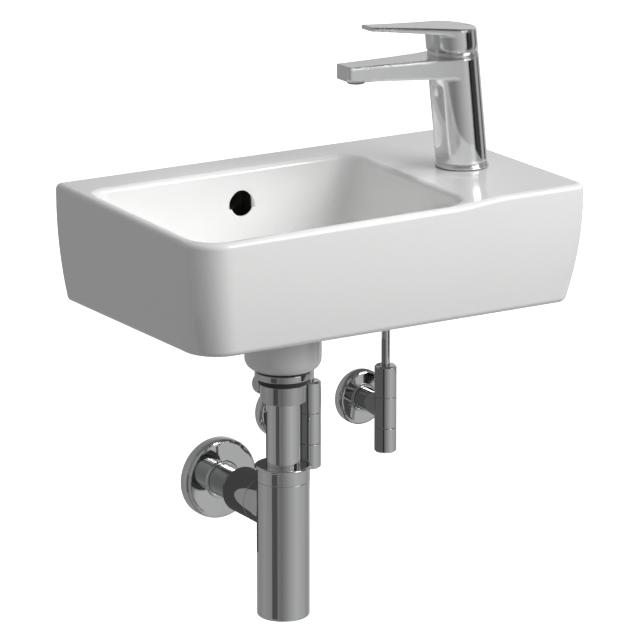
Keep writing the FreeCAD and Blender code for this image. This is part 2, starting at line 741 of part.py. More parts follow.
def valve_handle(x, y):
    """Turning handle below the body, on the spindle's square."""
    z1 = valve_joint_2_z - joint_gap
    z0 = valve_bottom_z
    knob = turned([(0, z0), (valve_r - 1.5, z0), (valve_r, z0 + 1.5), (valve_r, z1 - 0.5),
                   (valve_r - 0.5, z1), (0, z1)], x, y)
    half = valve_square_half + 0.1
    return knob.cut(box(x - half, x + half, y - half, y + half, z1 - 8.0, z1 + 1.0))


def valve_spindle(x, y):
    z1 = valve_joint_2_z - joint_gap
    half = valve_square_half
    stem = box(x - half, x + half, y - half, y + half, z1 - 7.8, valve_joint_2_z + 0.5)
    plug = disc(valve_r - 3.1, valve_joint_2_z + 0.5, valve_joint_2_z + 7.6, x, y)
    return stem.fuse(plug).removeSplitter()


def riser(x, y, side, rise, drop, bend):
    """Tube from an angle valve up through the tap hole into the tap."""
    top = V(tap_x + side * tail_offset_x, tap_y + tail_offset_y, deck_z + base_ring_height + 3.0)
    start = V(x, y, valve_joint_1_z - 10.0)
    lower = V(x, y, valve_top_z + rise)
    upper = V(top.x, top.y, deck_z - drop)
    path = bent_path([start, lower, upper, top], bend)
    return swept(path, riser_r).cut(swept(path, riser_r - riser_wall))


def valve_parts():
    rosettes = []
    nuts = []
    olives = []
    for name, x, y in (("left", valve_left_x, valve_left_y), ("right", valve_right_x, valve_right_y)):
        rosettes.append(to_wall(rosette(valve_rosette_r, valve_rosette_depth, valve_neck_r, 4.0),
                                x, valve_axis_z))
        nuts.append(valve_nut(x, y))
        olives.append(valve_olive(x, y))
        save("valve_body_" + name, valve_body(x, y))
        save("valve_handle_" + name, valve_handle(x, y))
        save("valve_spindle_" + name, valve_spindle(x, y))
    save("valve_rosettes", *rosettes)
    save("valve_nuts", *nuts)
    save("valve_olives", *olives)
    save("riser_left", riser(valve_left_x, valve_left_y, -1,
                             riser_left_rise, riser_left_drop, riser_left_bend))
    save("riser_right", riser(valve_right_x, valve_right_y, 1,
                              riser_right_rise, riser_right_drop, riser_right_bend))


# ---- tap, built with its base centre at the origin ---------------------------
def leaned_cylinder(r, z0, z1, x_at_zero=0.0):
    """Cylinder along the leaning axis, cut level at both ends."""
    length = (z1 - z0) + 40.0
    tool = Part.makeCylinder(r, length, V(0, 0, -20.0))
    tool.rotate(V(0, 0, 0), Y_AXIS, -tap_lean)
    tool.translate(V(x_at_zero - lean_tan * z0, 0, z0))
    return tool.common(box(-200, 200, -200, 200, z0, z1))


def arm_outline(reach, tip_half, centre_x, z):
    """Plan of an arm that narrows from the round body to a straight tip."""
    meet = math.radians(15)
    root = V(centre_x - tap_r * math.sin(meet), tap_r * math.cos(meet), z)
    pull = (reach + root.x) * 0.28
    side = Part.BezierCurve()
    side.setPoles([V(-reach, tip_half, z),
                   V(-reach + pull, tip_half + 1.4, z),
                   V(root.x - pull * math.cos(meet), root.y - pull * math.sin(meet), z),
                   root])
    left = side.toShape()
    right = left.mirror(V(0, 0, 0), Y_AXIS)
    inner_left = V(centre_x, root.y - 3.0, z)
    inner_right = V(centre_x, -root.y + 3.0, z)
    edges = [Part.LineSegment(V(-reach, -tip_half, z), V(-reach, tip_half, z)).toShape(), left,
             Part.LineSegment(root, inner_left).toShape(),
             Part.LineSegment(inner_left, inner_right).toShape(),
             Part.LineSegment(inner_right, V(root.x, -root.y, z)).toShape(), right]
    return Part.Wire(Part.__sortEdges__(edges))


def arm(reach, tip_half, centre_x, section):
    """Arm drawn up from its plan and kept between the lines of its side view."""
    plan = Part.Face(arm_outline(reach, tip_half, centre_x, 60.0)).extrude(V(0, 0, 120.0))
    side = Part.Face(Part.makePolygon(section + section[:1])).extrude(V(0, 100.0, 0))
    side.translate(V(0, -50.0, 0))
    return plan.common(side)


def tip_edges(solid, reach, low, high):
    """Upright edges at the tip of an arm."""
    chosen = []
    for edge in solid.Edges:
        bounds = edge.BoundBox
        if bounds.XMax < -reach + 0.6 and bounds.ZLength > (high - low) * 0.6:
            chosen.append(edge)
    return chosen


def tap_body():
    """Leaning round body with its flat spout and the scooped face below it."""
    body = leaned_cylinder(tap_r, base_ring_height, tap_rim)
    spout = arm(spout_reach, spout_tip_half, swivel_x,
                [V(-spout_reach - 5.0, 0, spout_tip_bottom - 0.4), V(-spout_reach - 5.0, 0, spout_tip_top),
                 V(-spout_root_x, 0, tap_rim), V(swivel_x, 0, tap_rim),
                 V(swivel_x, 0, spout_root_bottom - 1.0), V(-spout_root_x, 0, spout_root_bottom)])
    spout = spout.makeFillet(1.6, tip_edges(spout, spout_reach, spout_tip_bottom, spout_tip_top))
    body = body.fuse(spout).removeSplitter()
    body = body.cut(scoop())
    cavity = turned([(0, cartridge_bottom), (cartridge_r + slip, cartridge_bottom),
                     (cartridge_r + slip, cartridge_top), (nut_bore_r, cartridge_top),
                     (nut_bore_r, tap_rim + 1.0), (0, tap_rim + 1.0)], swivel_x, 0)
    nozzle = disc(aerator_r + slip, 80.0, 98.0, -spout_reach + aerator_back, 0)
    tails = []
    for side in (-1, 1):
        tails.append(disc(riser_r + slip, 0.0, base_ring_height + 3.2, side * tail_offset_x, tail_offset_y))
    stud_hole = disc(stud_r + slip, 0.0, base_ring_height + stud_in_tap + 0.5, 0, -stud_offset)
    return body.cut([cavity, nozzle, stud_hole] + tails).removeSplitter()


def scoop():
    """Concave face on the front of the body, from the base up to the spout."""
    half_chord = tap_r * math.sin(math.radians(scoop_half_angle))
    depth = tap_r * math.cos(math.radians(scoop_half_angle))
    centre = -depth - math.sqrt(scoop_r ** 2 - half_chord ** 2)
    bottom = base_ring_height + 7.0
    top = spout_root_bottom - 7.0
    tool = Part.makeCylinder(scoop_r, top - bottom, V(centre, 0, bottom))
    tool = tool.fuse([Part.makeCone(scoop_r - 6.0, scoop_r, 6.0, V(centre, 0, bottom - 6.0)),
                      Part.makeCone(scoop_r, scoop_r - 7.0, 7.0, V(centre, 0, top))])
    tool = tool.common(box(-tap_r - 20.0, 0, -half_chord - 4.0, half_chord + 4.0, 0, top + 6.9))
    tool.rotate(V(0, 0, 0), Y_AXIS, -tap_lean)
    return tool


def tap_lever():
    """Flat lever on a round hub, hollowed to a sphere about the lift pivot."""
    hub_x = swivel_x - lean_tan * (hub_bottom - tap_rim)
    hub = leaned_cylinder(tap_r, hub_bottom, lever_top + 20.0)
    back = 60.0
    beyond = -lever_reach - 5.0
    low = hub_bottom - 5.0
    hub_cut = Part.Face(Part.makePolygon([V(beyond, 0, low), V(beyond, 0, lever_top_at(beyond)),
                                          V(back, 0, lever_top_at(back)), V(back, 0, low),
                                          V(beyond, 0, low)]))
    hub_cut = hub_cut.extrude(V(0, 200, 0))
    hub_cut.translate(V(0, -100, 0))
    hub = hub.common(hub_cut)
    blade = arm(lever_reach, lever_tip_half, hub_x - 2.0,
                [V(beyond, 0, lever_tip_bottom), V(beyond, 0, lever_top_at(beyond)),
                 V(hub_x, 0, lever_top_at(hub_x)), V(hub_x, 0, lever_root_bottom - 4.0),
                 V(-lever_root_x, 0, lever_root_bottom)])
    blade = blade.makeFillet(2.5, tip_edges(blade, lever_reach, lever_tip_bottom,
                                            lever_top_at(-lever_reach)))
    lever = hub.fuse(blade).removeSplitter()
    upper = [e for e in lever.Edges if on_lever_top(e)]
    lever = lever.makeFillet(1.2, upper)
    hollow = Part.makeSphere(dome_r + lever_clearance, V(swivel_x, 0, pivot_z))
    half = spindle_half + slip
    socket = box(swivel_x - half, swivel_x + half, -half, half, pivot_z + 20.0, spindle_top_z + 0.3)
    screw_hole = Part.makeCylinder(screw_r + slip, 30.0, V(swivel_x, 0, screw_z), X_AXIS)
    cap_hole = Part.makeCylinder(cap_r + slip, 20.0, V(cap_x, 0, screw_z), X_AXIS)
    return lever.cut([hollow, socket, screw_hole, cap_hole])


def lever_screw():
    """Headless screw that holds the lever on its spindle."""
    start = swivel_x + spindle_half + slip
    return Part.makeCylinder(screw_r, cap_x - start - 0.5, V(start, 0, screw_z), X_AXIS)


def lever_cap():
    """Round plug over the screw, finished to the hub's curve at the back."""
    hub = leaned_cylinder(tap_r - 0.15, hub_bottom, lever_top, 0.0)
    return Part.makeCylinder(cap_r, 20.0, V(cap_x, 0, screw_z), X_AXIS).common(hub)


def lever_top_at(x):
    """Height of the lever's sloping top."""
    return lever_top - lever_rise * (x + lever_top_x)


def on_lever_top(edge):
    """Edges of the lever's sloping top face."""
    for point in (edge.valueAt(edge.FirstParameter), edge.valueAt(edge.LastParameter),
                  edge.valueAt((edge.FirstParameter + edge.LastParameter) / 2)):
        if abs(point.z - lever_top_at(point.x)) > 0.02:
            return False
    return True


def dome_cover():
    """Chromed cover of the cartridge, a sphere about the lift pivot."""
    outer = Part.makeSphere(dome_r, V(swivel_x, 0, pivot_z))
    inner = Part.makeSphere(dome_r - dome_shell, V(swivel_x, 0, pivot_z))
    shell = outer.cut(inner).common(disc(tap_r - 0.3, tap_rim, tap_rim + 40.0, swivel_x, 0))
    flange = ring(tap_r - 0.3, nut_bore_r - 1.4, tap_rim, tap_rim + 1.4, swivel_x, 0)
    skirt = ring(nut_bore_r - slip, nut_bore_r - 1.4, cartridge_neck_top, tap_rim + 1.4, swivel_x, 0)
    opening = disc(dome_opening_r, tap_rim + 5.0, tap_rim + 40.0, swivel_x, 0)
    return shell.fuse([flange, skirt]).common(outer.fuse(skirt)).cut(opening).removeSplitter()


def cartridge():
    """Mixing cartridge with the neck that its rotor turns in."""
    body = turned([(0, cartridge_bottom + 0.2), (cartridge_r, cartridge_bottom + 0.2),
                   (cartridge_r, cartridge_top), (cartridge_neck_r, cartridge_top),
                   (cartridge_neck_r, cartridge_neck_top), (rotor_r + slip, cartridge_neck_top),
                   (rotor_r + slip, cartridge_top - 8.0), (0, cartridge_top - 8.0)], swivel_x, 0)
    return body


def cartridge_nut():
    nut = ring(nut_bore_r - slip, cartridge_neck_r + 0.2, cartridge_top + 0.1, cartridge_neck_top - 0.4,
               swivel_x, 0)
    for turn in range(4):
        slot = box(nut_bore_r - 3.5, nut_bore_r + 2.0, -2.5, 2.5,
                   cartridge_neck_top - 2.6, cartridge_neck_top)
        slot.rotate(V(0, 0, 0), Z_AXIS, 90 * turn + 45)
        slot.translate(V(swivel_x, 0, 0))
        nut = nut.cut(slot)
    return nut


def cartridge_rotor():
    """Turns in the cartridge and forks round the lever's spindle."""
    rotor = disc(rotor_r, cartridge_top - 7.8, pivot_z + 3.5, swivel_x, 0)
    slot = box(swivel_x - 12.0, swivel_x + 12.0, -spindle_half - 0.2, spindle_half + 0.2,
               cartridge_top - 3.0, pivot_z + 5.0)
    hole = Part.makeCylinder(1.5 + slip, 30.0, V(swivel_x, -15.0, pivot_z), Y_AXIS)
    return rotor.cut([slot, hole])


def spindle():
    """Square spindle between the rotor's fork and the lever."""
    z0 = pivot_z - 6.0
    rod = box(swivel_x - spindle_half, swivel_x + spindle_half, -spindle_half, spindle_half,
              z0, spindle_top_z)
    hole = Part.makeCylinder(1.5 + slip, 30.0, V(swivel_x, -15.0, pivot_z), Y_AXIS)
    return rod.cut(hole)


def aerator():
    x = -spout_reach + aerator_back
    body = ring(aerator_r, aerator_r - 1.8, spout_tip_bottom - 4.6, 97.8, x, 0)
    mesh = disc(aerator_r - 1.8, spout_tip_bottom - 2.4, spout_tip_bottom - 1.2, x, 0)
    bars = body.fuse(mesh)
    for step in range(-2, 3):
        bars = bars.cut(box(x - 6.0, x + 6.0, step * 2.6 - 0.5, step * 2.6 + 0.5,
                            spout_tip_bottom - 3.0, spout_tip_bottom - 1.0))
    return bars.removeSplitter()


def horseshoe(z0, z1):
    """Plate under the shelf, open to the back for the two tails, on the stud."""
    plate = disc(base_ring_r - 1.0, z0, z1)
    gap = box(-tail_offset_x - riser_r - 1.5, tail_offset_x + riser_r + 1.5,
              tail_offset_y - riser_r - 1.5, 60.0, z0 - 1.0, z1 + 1.0)
    stud_hole = disc(stud_r + 0.3, z0 - 1.0, z1 + 1.0, 0, -stud_offset)
    return plate.cut([gap, stud_hole])


def tap_parts():
    place = V(tap_x, tap_y, deck_z)

    def put(name, shape):
        save(name, shape.translated(place))

    through = [disc(riser_r + 0.5, -5.0, 10.0, -tail_offset_x, tail_offset_y),
               disc(riser_r + 0.5, -5.0, 10.0, tail_offset_x, tail_offset_y),
               disc(stud_r + 0.3, -5.0, 10.0, 0, -stud_offset)]
    put("tap_base_seal", disc(base_ring_r - 1.5, 0.0, base_seal_height).cut(through))
    base = round_circles(disc(base_ring_r, base_seal_height, base_ring_height), 0.8, base_ring_height)
    put("tap_base_ring", base.cut(through))
    put("tap_body", tap_body())
    put("tap_aerator", aerator())
    put("cartridge", cartridge())
    put("cartridge_nut", cartridge_nut())
    put("dome_cover", dome_cover())
    put("cartridge_rotor", cartridge_rotor())
    put("pivot_pin", Part.makeCylinder(1.5, 14.8, V(swivel_x, -7.4, pivot_z), Y_AXIS))
    put("lever_spindle", spindle())
    put("tap_lever", tap_lever())
    put("lever_screw", lever_screw())
    put("lever_cap", lever_cap())
    under = -shelf_thickness
    under_gasket = under - deck_gasket_t
    under_washer = under_gasket - deck_washer_t
    put("mounting_stud", disc(stud_r, under - stud_under, base_ring_height + stud_in_tap, 0, -stud_offset))
    put("deck_gasket", horseshoe(under_gasket, under))
    put("deck_washer", horseshoe(under_washer, under_gasket))
    nut = hexagon(stud_nut_across, under_washer - stud_nut_height, under_washer, 0, -stud_offset)
    put("stud_nut", nut.cut(disc(stud_r + slip, under - stud_under, 0.0, 0, -stud_offset)))


def main():
    os.makedirs("parts", exist_ok=True)
    wall_fixings()
    waste_parts()
    trap_parts()
    valve_parts()
    tap_parts()
    save("basin", basin())


if __name__ == "__main__":
    main()
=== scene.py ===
import json
import math

import bmesh
import bpy
from bpy.props import FloatProperty, FloatVectorProperty, IntProperty, PointerProperty
from mathutils import Matrix, Vector

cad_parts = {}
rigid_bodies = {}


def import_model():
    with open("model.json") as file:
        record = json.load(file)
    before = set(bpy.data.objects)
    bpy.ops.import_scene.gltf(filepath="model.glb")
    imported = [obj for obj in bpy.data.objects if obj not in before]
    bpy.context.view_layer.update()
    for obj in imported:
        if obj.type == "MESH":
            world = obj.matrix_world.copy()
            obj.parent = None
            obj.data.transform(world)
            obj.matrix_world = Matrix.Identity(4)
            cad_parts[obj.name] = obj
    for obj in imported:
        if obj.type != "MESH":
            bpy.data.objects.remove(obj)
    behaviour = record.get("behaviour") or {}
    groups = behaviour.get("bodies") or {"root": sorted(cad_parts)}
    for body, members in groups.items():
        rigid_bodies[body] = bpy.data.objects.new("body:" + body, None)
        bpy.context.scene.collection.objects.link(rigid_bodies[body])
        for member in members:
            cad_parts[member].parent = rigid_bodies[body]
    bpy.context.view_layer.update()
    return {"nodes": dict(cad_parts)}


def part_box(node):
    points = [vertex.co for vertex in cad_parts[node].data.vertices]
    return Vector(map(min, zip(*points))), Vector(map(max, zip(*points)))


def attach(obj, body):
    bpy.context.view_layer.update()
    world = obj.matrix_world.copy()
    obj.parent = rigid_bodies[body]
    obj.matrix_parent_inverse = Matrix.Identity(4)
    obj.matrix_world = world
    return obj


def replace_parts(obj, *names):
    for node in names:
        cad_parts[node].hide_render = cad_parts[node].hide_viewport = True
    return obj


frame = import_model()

bl_info = {
    "name": "Wall hung basin",
    "version": (1, 0, 0),
    "blender": (4, 5, 0),
    "location": "View3D > Sidebar > Basin",
    "description": "Glaze, chrome and fine parts of a wall hung basin with its tap, trap and valves",
    "category": "Object",
}

MM = 0.001
UP = Vector((0, 0, 1))
TO_WALL = Matrix.Rotation(math.radians(-90), 4, "X")

CAMERA_YAW = math.radians(31.73)        # to the right of straight at the wall
CAMERA_PLACE = (-2.41907, -4.03822, 1.19118)
CAMERA_LOOK = Vector((0.5073972, 0.82070772, -0.2626536))
CAMERA_LENS = 298.125
SENSOR_WIDTH = 36.0

MIDDLE = Vector((0, -0.12, 0))          # what the lamps aim at
KEY_DISTANCE = 3.2
WINDOW_DISTANCE = 3.0
FLOOR_HALF_WIDTH = 14.0

LEVER_FALL = 0.10                       # of the lever's top, away from its tip
LEVER_CREST = Vector((0.133, 0, 0.1963))

DUCT_X = (-0.0475, -0.0145)             # the inside of the overflow, which is painted near black as shade
DUCT_DEPTH = (-0.0418, -0.0140)
DUCT_Z = (-0.0600, 0.0450)
DUCT_SLOPE = 0.12
BARE_BACK = 0.0012                      # how far in front of the wall the bare clay ends

SHARP_ANGLE = math.radians(32)
MERGE_DISTANCE = 1e-6
BOLT_OFFSET = 100 * MM                  # each bolt from the middle between them
SHANK_INSET = 0.2 * MM                  # of the bolt's shank from its outer radius
BOLT_TIP = 6 * MM


# ---- frame lookups -----------------------------------------------------------
def node(name):
    return frame["nodes"][name]


def middle(name):
    low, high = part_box(name)
    return (Vector(low) + Vector(high)) / 2


def span(name):
    low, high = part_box(name)
    return Vector(low), Vector(high)


# ---- shader expressions ------------------------------------------------------
class Socket:
    """One value of a material, which adds Math nodes when it stands in an expression."""

    def __init__(self, graph, link):
        self.graph = graph
        self.link = link

    def math(self, operation, other=None, first=None):
        values = {0: self if first is None else first}
        if other is not None:
            values[1] = other
        return self.graph.add("ShaderNodeMath", {"operation": operation}, values)

    def __add__(self, other):
        return self.math("ADD", other)

    def __sub__(self, other):
        return self.math("SUBTRACT", other)

    def __rsub__(self, other):
        return self.math("SUBTRACT", self, first=other)

    def __neg__(self):
        return self.math("MULTIPLY", -1.0)

    def __mul__(self, other):
        return self.math("MULTIPLY", other)

    def __truediv__(self, other):
        return self.math("DIVIDE", other)

    __radd__ = __add__
    __rmul__ = __mul__

    def clamp(self):
        return self.graph.add("ShaderNodeClamp", {}, {0: self})


class Graph:
    """The nodes of one material or world."""

    def __init__(self, tree):
        self.tree = tree
        tree.nodes.clear()

    def add(self, kind, settings, inputs, output=0):
        made = self.tree.nodes.new(kind)
        for key, value in settings.items():
            if key == "stops":
                self.fill_ramp(made.color_ramp, value)
            else:
                setattr(made, key, value)
        for key, value in inputs.items():
            if isinstance(value, Socket):
                self.tree.links.new(value.link, made.inputs[key])
            else:
                made.inputs[key].default_value = value
        return Socket(self, made.outputs[output]) if made.outputs else None

    def fill_ramp(self, ramp, stops):
        while len(ramp.elements) > 1:
            ramp.elements.remove(ramp.elements[-1])
        for index, (place, grey) in enumerate(stops):
            element = ramp.elements[0] if index == 0 else ramp.elements.new(place)
            element.position = place
            element.color = (grey, grey, grey, 1)

    def point(self):
        return self.add("ShaderNodeTexCoord", {}, {}, "Object")

    def axis(self, vector, index):
        return self.add("ShaderNodeSeparateXYZ", {}, {0: vector}, index)

    def stretched(self, vector, scale):
        return self.add("ShaderNodeMapping", {}, {"Vector": vector, "Scale": scale})

    def noise(self, vector, scale, detail=2.0):
        return self.add("ShaderNodeTexNoise", {}, {"Vector": vector, "Scale": scale, "Detail": detail}, 0)

    def mix(self, factor, first, second):
        return self.add("ShaderNodeMix", {"data_type": "RGBA"}, {0: factor, 6: first, 7: second}, 2)

    def ramp(self, value, stops):
        return self.add("ShaderNodeValToRGB", {"stops": stops}, {0: value})

    def bump(self, height, strength, distance, edge=0.0008):
        """Bumps over edges that are rounded off by this radius."""
        rounded = self.add("ShaderNodeBevel", {"samples": 6}, {"Radius": edge})
        return self.add("ShaderNodeBump", {},
                        {"Strength": strength, "Distance": distance, "Height": height, "Normal": rounded})

    def between(self, value, low, high, soft=0.0008):
        """One inside the two limits, zero outside."""
        return ((value - low) / soft).clamp() * ((high - value) / soft).clamp()

    def finish(self, **sockets):
        names = {key.replace("_", " ").title().replace("Ior", "IOR"): value for key, value in sockets.items()}
        shader = self.add("ShaderNodeBsdfPrincipled", {}, names)
        self.add("ShaderNodeOutputMaterial", {}, {"Surface": shader})


def rgba(colour):
    return (colour[0], colour[1], colour[2], 1.0)


def new_graph(name):
    material = bpy.data.materials.new(name)
    material.use_nodes = True
    return material, Graph(material.node_tree)


# ---- materials ---------------------------------------------------------------
def glaze(name, looks):
    """White glaze with a faint ripple, matt fired clay where the basin meets the wall, and painted near-black
    shade inside the overflow.
    """
    material, g = new_graph(name)
    point = g.point()
    cloud = g.noise(point, 11.0, 3.0)
    ripple = g.noise(point, 170.0, 2.0)
    grain = g.noise(point, 2400.0, 2.0)
    speck = g.noise(point, 900.0, 1.0)
    bare = ((g.axis(point, 1) + BARE_BACK) * 1500.0).clamp()
    depth = g.axis(point, 1) - g.axis(point, 2) * DUCT_SLOPE
    # painted shade: inside the overflow the colour is near black and the gloss coat is left off
    duct_shade = (g.between(g.axis(point, 0), *DUCT_X) * g.between(depth, *DUCT_DEPTH)
            * g.between(g.axis(point, 2), *DUCT_Z))
    pores = ((speck - 0.66) * 9.0).clamp()
    white = g.mix(cloud, rgba(looks.glaze_colour), rgba([c * 0.972 for c in looks.glaze_colour]))
    fired = g.mix(pores, rgba(looks.clay_colour), rgba([c * 0.72 for c in looks.clay_colour]))
    height = ripple * (1 - bare) + grain * bare * 0.35
    outside = g.mix(bare, white, fired)
    g.finish(base_color=g.mix(duct_shade, outside, rgba(looks.duct_shade_colour)),
             roughness=(cloud - 0.5) * 0.10 + 0.16 + bare * 0.62,
             coat_weight=(1 - bare) * (1 - duct_shade) * looks.glaze_coat,
             coat_roughness=0.035, coat_ior=1.52, ior=1.5,
             normal=g.bump(height, 0.10, 0.0006, 0.0012))
    return material


def chrome(name, looks, shade, soiled, edge=0.0008):
    """Polished plate over brass, with a faint ripple, wipe marks and dried drops; shade scales the plate's
    colour down as painted shade.
    """
    material, g = new_graph(name)
    point = g.point()
    wave = g.noise(point, 38.0, 1.0)
    wiped = g.noise(g.stretched(point, (90.0, 90.0, 14.0)), 1.0, 4.0)
    spots = g.add("ShaderNodeTexVoronoi", {"feature": "F1"}, {"Vector": point, "Scale": 150.0})
    picked = ((g.noise(point, 60.0, 1.0) - 0.60) * 12.0).clamp()
    drops = (1 - ((spots - 0.20) * 14.0).clamp()) * picked
    # shade darkens the plate's colour: painted shade, for parts that mirror darker surroundings than the tap
    tint = g.mix((wiped - 0.35).clamp(), rgba([c * shade for c in looks.chrome_colour]),
                 rgba([c * shade * 0.94 for c in looks.chrome_colour]))
    g.finish(base_color=tint, metallic=1.0,
             roughness=wiped * 0.045 * soiled + drops * 0.10 * soiled + looks.chrome_roughness,
             normal=g.bump(wave, 0.06, 0.0006, edge))
    return material


def plated_steel(name, looks):
    """Zinc plate with its slightly mottled tint and turning marks."""
    material, g = new_graph(name)
    point = g.point()
    mottle = g.noise(point, 240.0, 4.0)
    fine = g.noise(g.stretched(point, (3000.0, 600.0, 3000.0)), 1.0, 2.0)
    g.finish(base_color=g.mix(mottle, rgba(looks.steel_colour),
                              rgba([looks.steel_colour[0] * 0.86, looks.steel_colour[1] * 0.90,
                                    looks.steel_colour[2] * 0.98])),
             metallic=1.0, roughness=mottle * 0.22 + fine * 0.10 + 0.18,
             normal=g.bump(fine, 0.20, 0.0001))
    return material


def turned_brass(name, looks):
    """Bare brass with turning marks, a little duller in patches."""
    material, g = new_graph(name)
    point = g.point()
    dull = g.noise(point, 130.0, 3.0)
    rings = g.noise(g.stretched(point, (300.0, 300.0, 6000.0)), 1.0, 2.0)
    g.finish(base_color=g.mix(dull, rgba(looks.brass_colour), rgba([c * 0.74 for c in looks.brass_colour])),
             metallic=1.0, roughness=dull * 0.22 + rings * 0.10 + 0.16,
             normal=g.bump(rings, 0.25, 0.0001))
    return material


def moulded_rubber(name, looks):
    """Matt black rubber with a fine moulded grain and a paler bloom."""
    material, g = new_graph(name)
    point = g.point()
    bloom = g.noise(point, 90.0, 4.0)
    grain = g.noise(point, 2600.0, 2.0)
    pale = [c * 1.9 + 0.01 for c in looks.rubber_colour]
    g.finish(base_color=g.mix(bloom, rgba(looks.rubber_colour), rgba(pale)),
             roughness=bloom * 0.25 + grain * 0.08 + 0.46,
             normal=g.bump(grain, 0.30, 0.0001))
    return material


def moulded_plastic(name, colour):
    """Hard moulded plastic with a fine spark-eroded grain and slight flow marks."""
    material, g = new_graph(name)
    point = g.point()
    flow = g.noise(g.stretched(point, (60.0, 60.0, 200.0)), 1.0, 3.0)
    grain = g.noise(point, 3200.0, 1.0)
    g.finish(base_color=g.mix(flow, rgba(colour), rgba([c * 0.93 for c in colour])),
             roughness=flow * 0.16 + grain * 0.10 + 0.30,
             normal=g.bump(grain, 0.20, 0.0001))
    return material


MADE = {}


def material_for(finish):
    """The finish's material, made once."""
    looks = bpy.context.scene.basin_finish
    grey = [c * 0.42 for c in looks.plastic_colour]
    makers = {
        "glaze": lambda: glaze("glaze", looks),
        "tap chrome": lambda: chrome("tap chrome", looks, 1.0, 1.0, 0.0048),
        # The trap, waste, valve and tube chrome are darker copies of the tap's chrome: painted shade, as
        # these parts mirror darker surroundings under the basin.
        "trap chrome with painted shade": lambda: chrome("trap chrome with painted shade", looks, 0.80, 0.7),
        "waste chrome with painted shade": lambda: chrome("waste chrome with painted shade", looks, 0.66, 0.8),
        "valve chrome with painted shade": lambda: chrome("valve chrome with painted shade", looks, 0.80, 0.8),
        "tube chrome with painted shade": lambda: chrome("tube chrome with painted shade", looks, 0.82, 0.5),
        "steel": lambda: plated_steel("plated steel", looks),
        "brass": lambda: turned_brass("turned brass", looks),
        "rubber": lambda: moulded_rubber("moulded rubber", looks),
        "plastic": lambda: moulded_plastic("moulded plastic", looks.plastic_colour),
        "grey plastic": lambda: moulded_plastic("grey moulded plastic", grey),
    }
    if finish not in MADE:
        MADE[finish] = makers[finish]()
    return MADE[finish]


def dress(finish, *names):
    """Gives carried-over solids their finish."""
    for name in names:
        for slot in node(name).material_slots:
            slot.material = material_for(finish)


# ---- meshes ------------------------------------------------------------------
def new_object(name, build, finish, body, slot):
    """Runs build on an empty bmesh and makes the piece of it."""
    made = bmesh.new()
    build(made)
    bmesh.ops.remove_doubles(made, verts=made.verts, dist=MERGE_DISTANCE)
    bmesh.ops.recalc_face_normals(made, faces=made.faces)
    mesh = bpy.data.meshes.new(name)
    made.to_mesh(mesh)
    made.free()
    return place(name, mesh, finish, body, slot)


def place(name, mesh, finish, body, slot):
    piece = bpy.data.objects.new(name, mesh)
    bpy.context.scene.collection.objects.link(piece)
    mesh.materials.clear()
    mesh.materials.append(material_for(finish))
    mesh.shade_smooth()
    mesh.set_sharp_from_angle(angle=SHARP_ANGLE)
    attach(piece, body)
    return piece


def add_rings(made, rows, where):
    """Joins rows of (radius, height) points, each spread over a turn about the local vertical."""
    rings = []
    for row in rows:
        ring = []
        for step, (radius, height) in enumerate(row):
            angle = 2 * math.pi * step / len(row)
            point = Vector((radius * math.cos(angle), radius * math.sin(angle), height))
            ring.append(made.verts.new(where @ point))
        rings.append(ring)
    for lower, upper in zip(rings, rings[1:] + rings[:1]):
        for step in range(len(lower)):
            after = (step + 1) % len(lower)
            made.faces.new((lower[step], lower[after], upper[after], upper[step]))


def add_lathe(made, profile, where, sides=64):
    """Turns a closed outline of (radius, height) points and sets it in place."""
    add_rings(made, [[point] * sides for point in profile], where)


def add_nut(made, across, bore, height, where, thread):
    """Hexagon nut with turned chamfers and a countersunk, ringed bore."""
    sides = 96
    flat = across / 2
    crown = flat * 0.97
    tilt = math.tan(math.radians(30))
    corners = []
    for step in range(sides):
        angle = 2 * math.pi * step / sides
        corners.append(flat / math.cos((angle % (math.pi / 3)) - math.pi / 6))
    drops = [max(0.0, corner - crown) * tilt for corner in corners]

    turns = int(height / thread)
    bore_rows = []
    for turn in range(turns + 1):
        level = height * turn / turns
        bore_rows.append((bore, level))
        if turn < turns:
            bore_rows.append((bore + thread * 0.45, level + height / turns / 2))
    bore_rows[0] = (bore + thread * 0.7, 0.0)
    bore_rows[-1] = (bore + thread * 0.7, height)

    rows = [[point] * sides for point in bore_rows]
    rows.append([(crown, height)] * sides)
    rows.append([(corner, height - drop) for corner, drop in zip(corners, drops)])
    rows.append(list(zip(corners, drops)))
    rows.append([(crown, 0.0)] * sides)
    add_rings(made, rows, where)


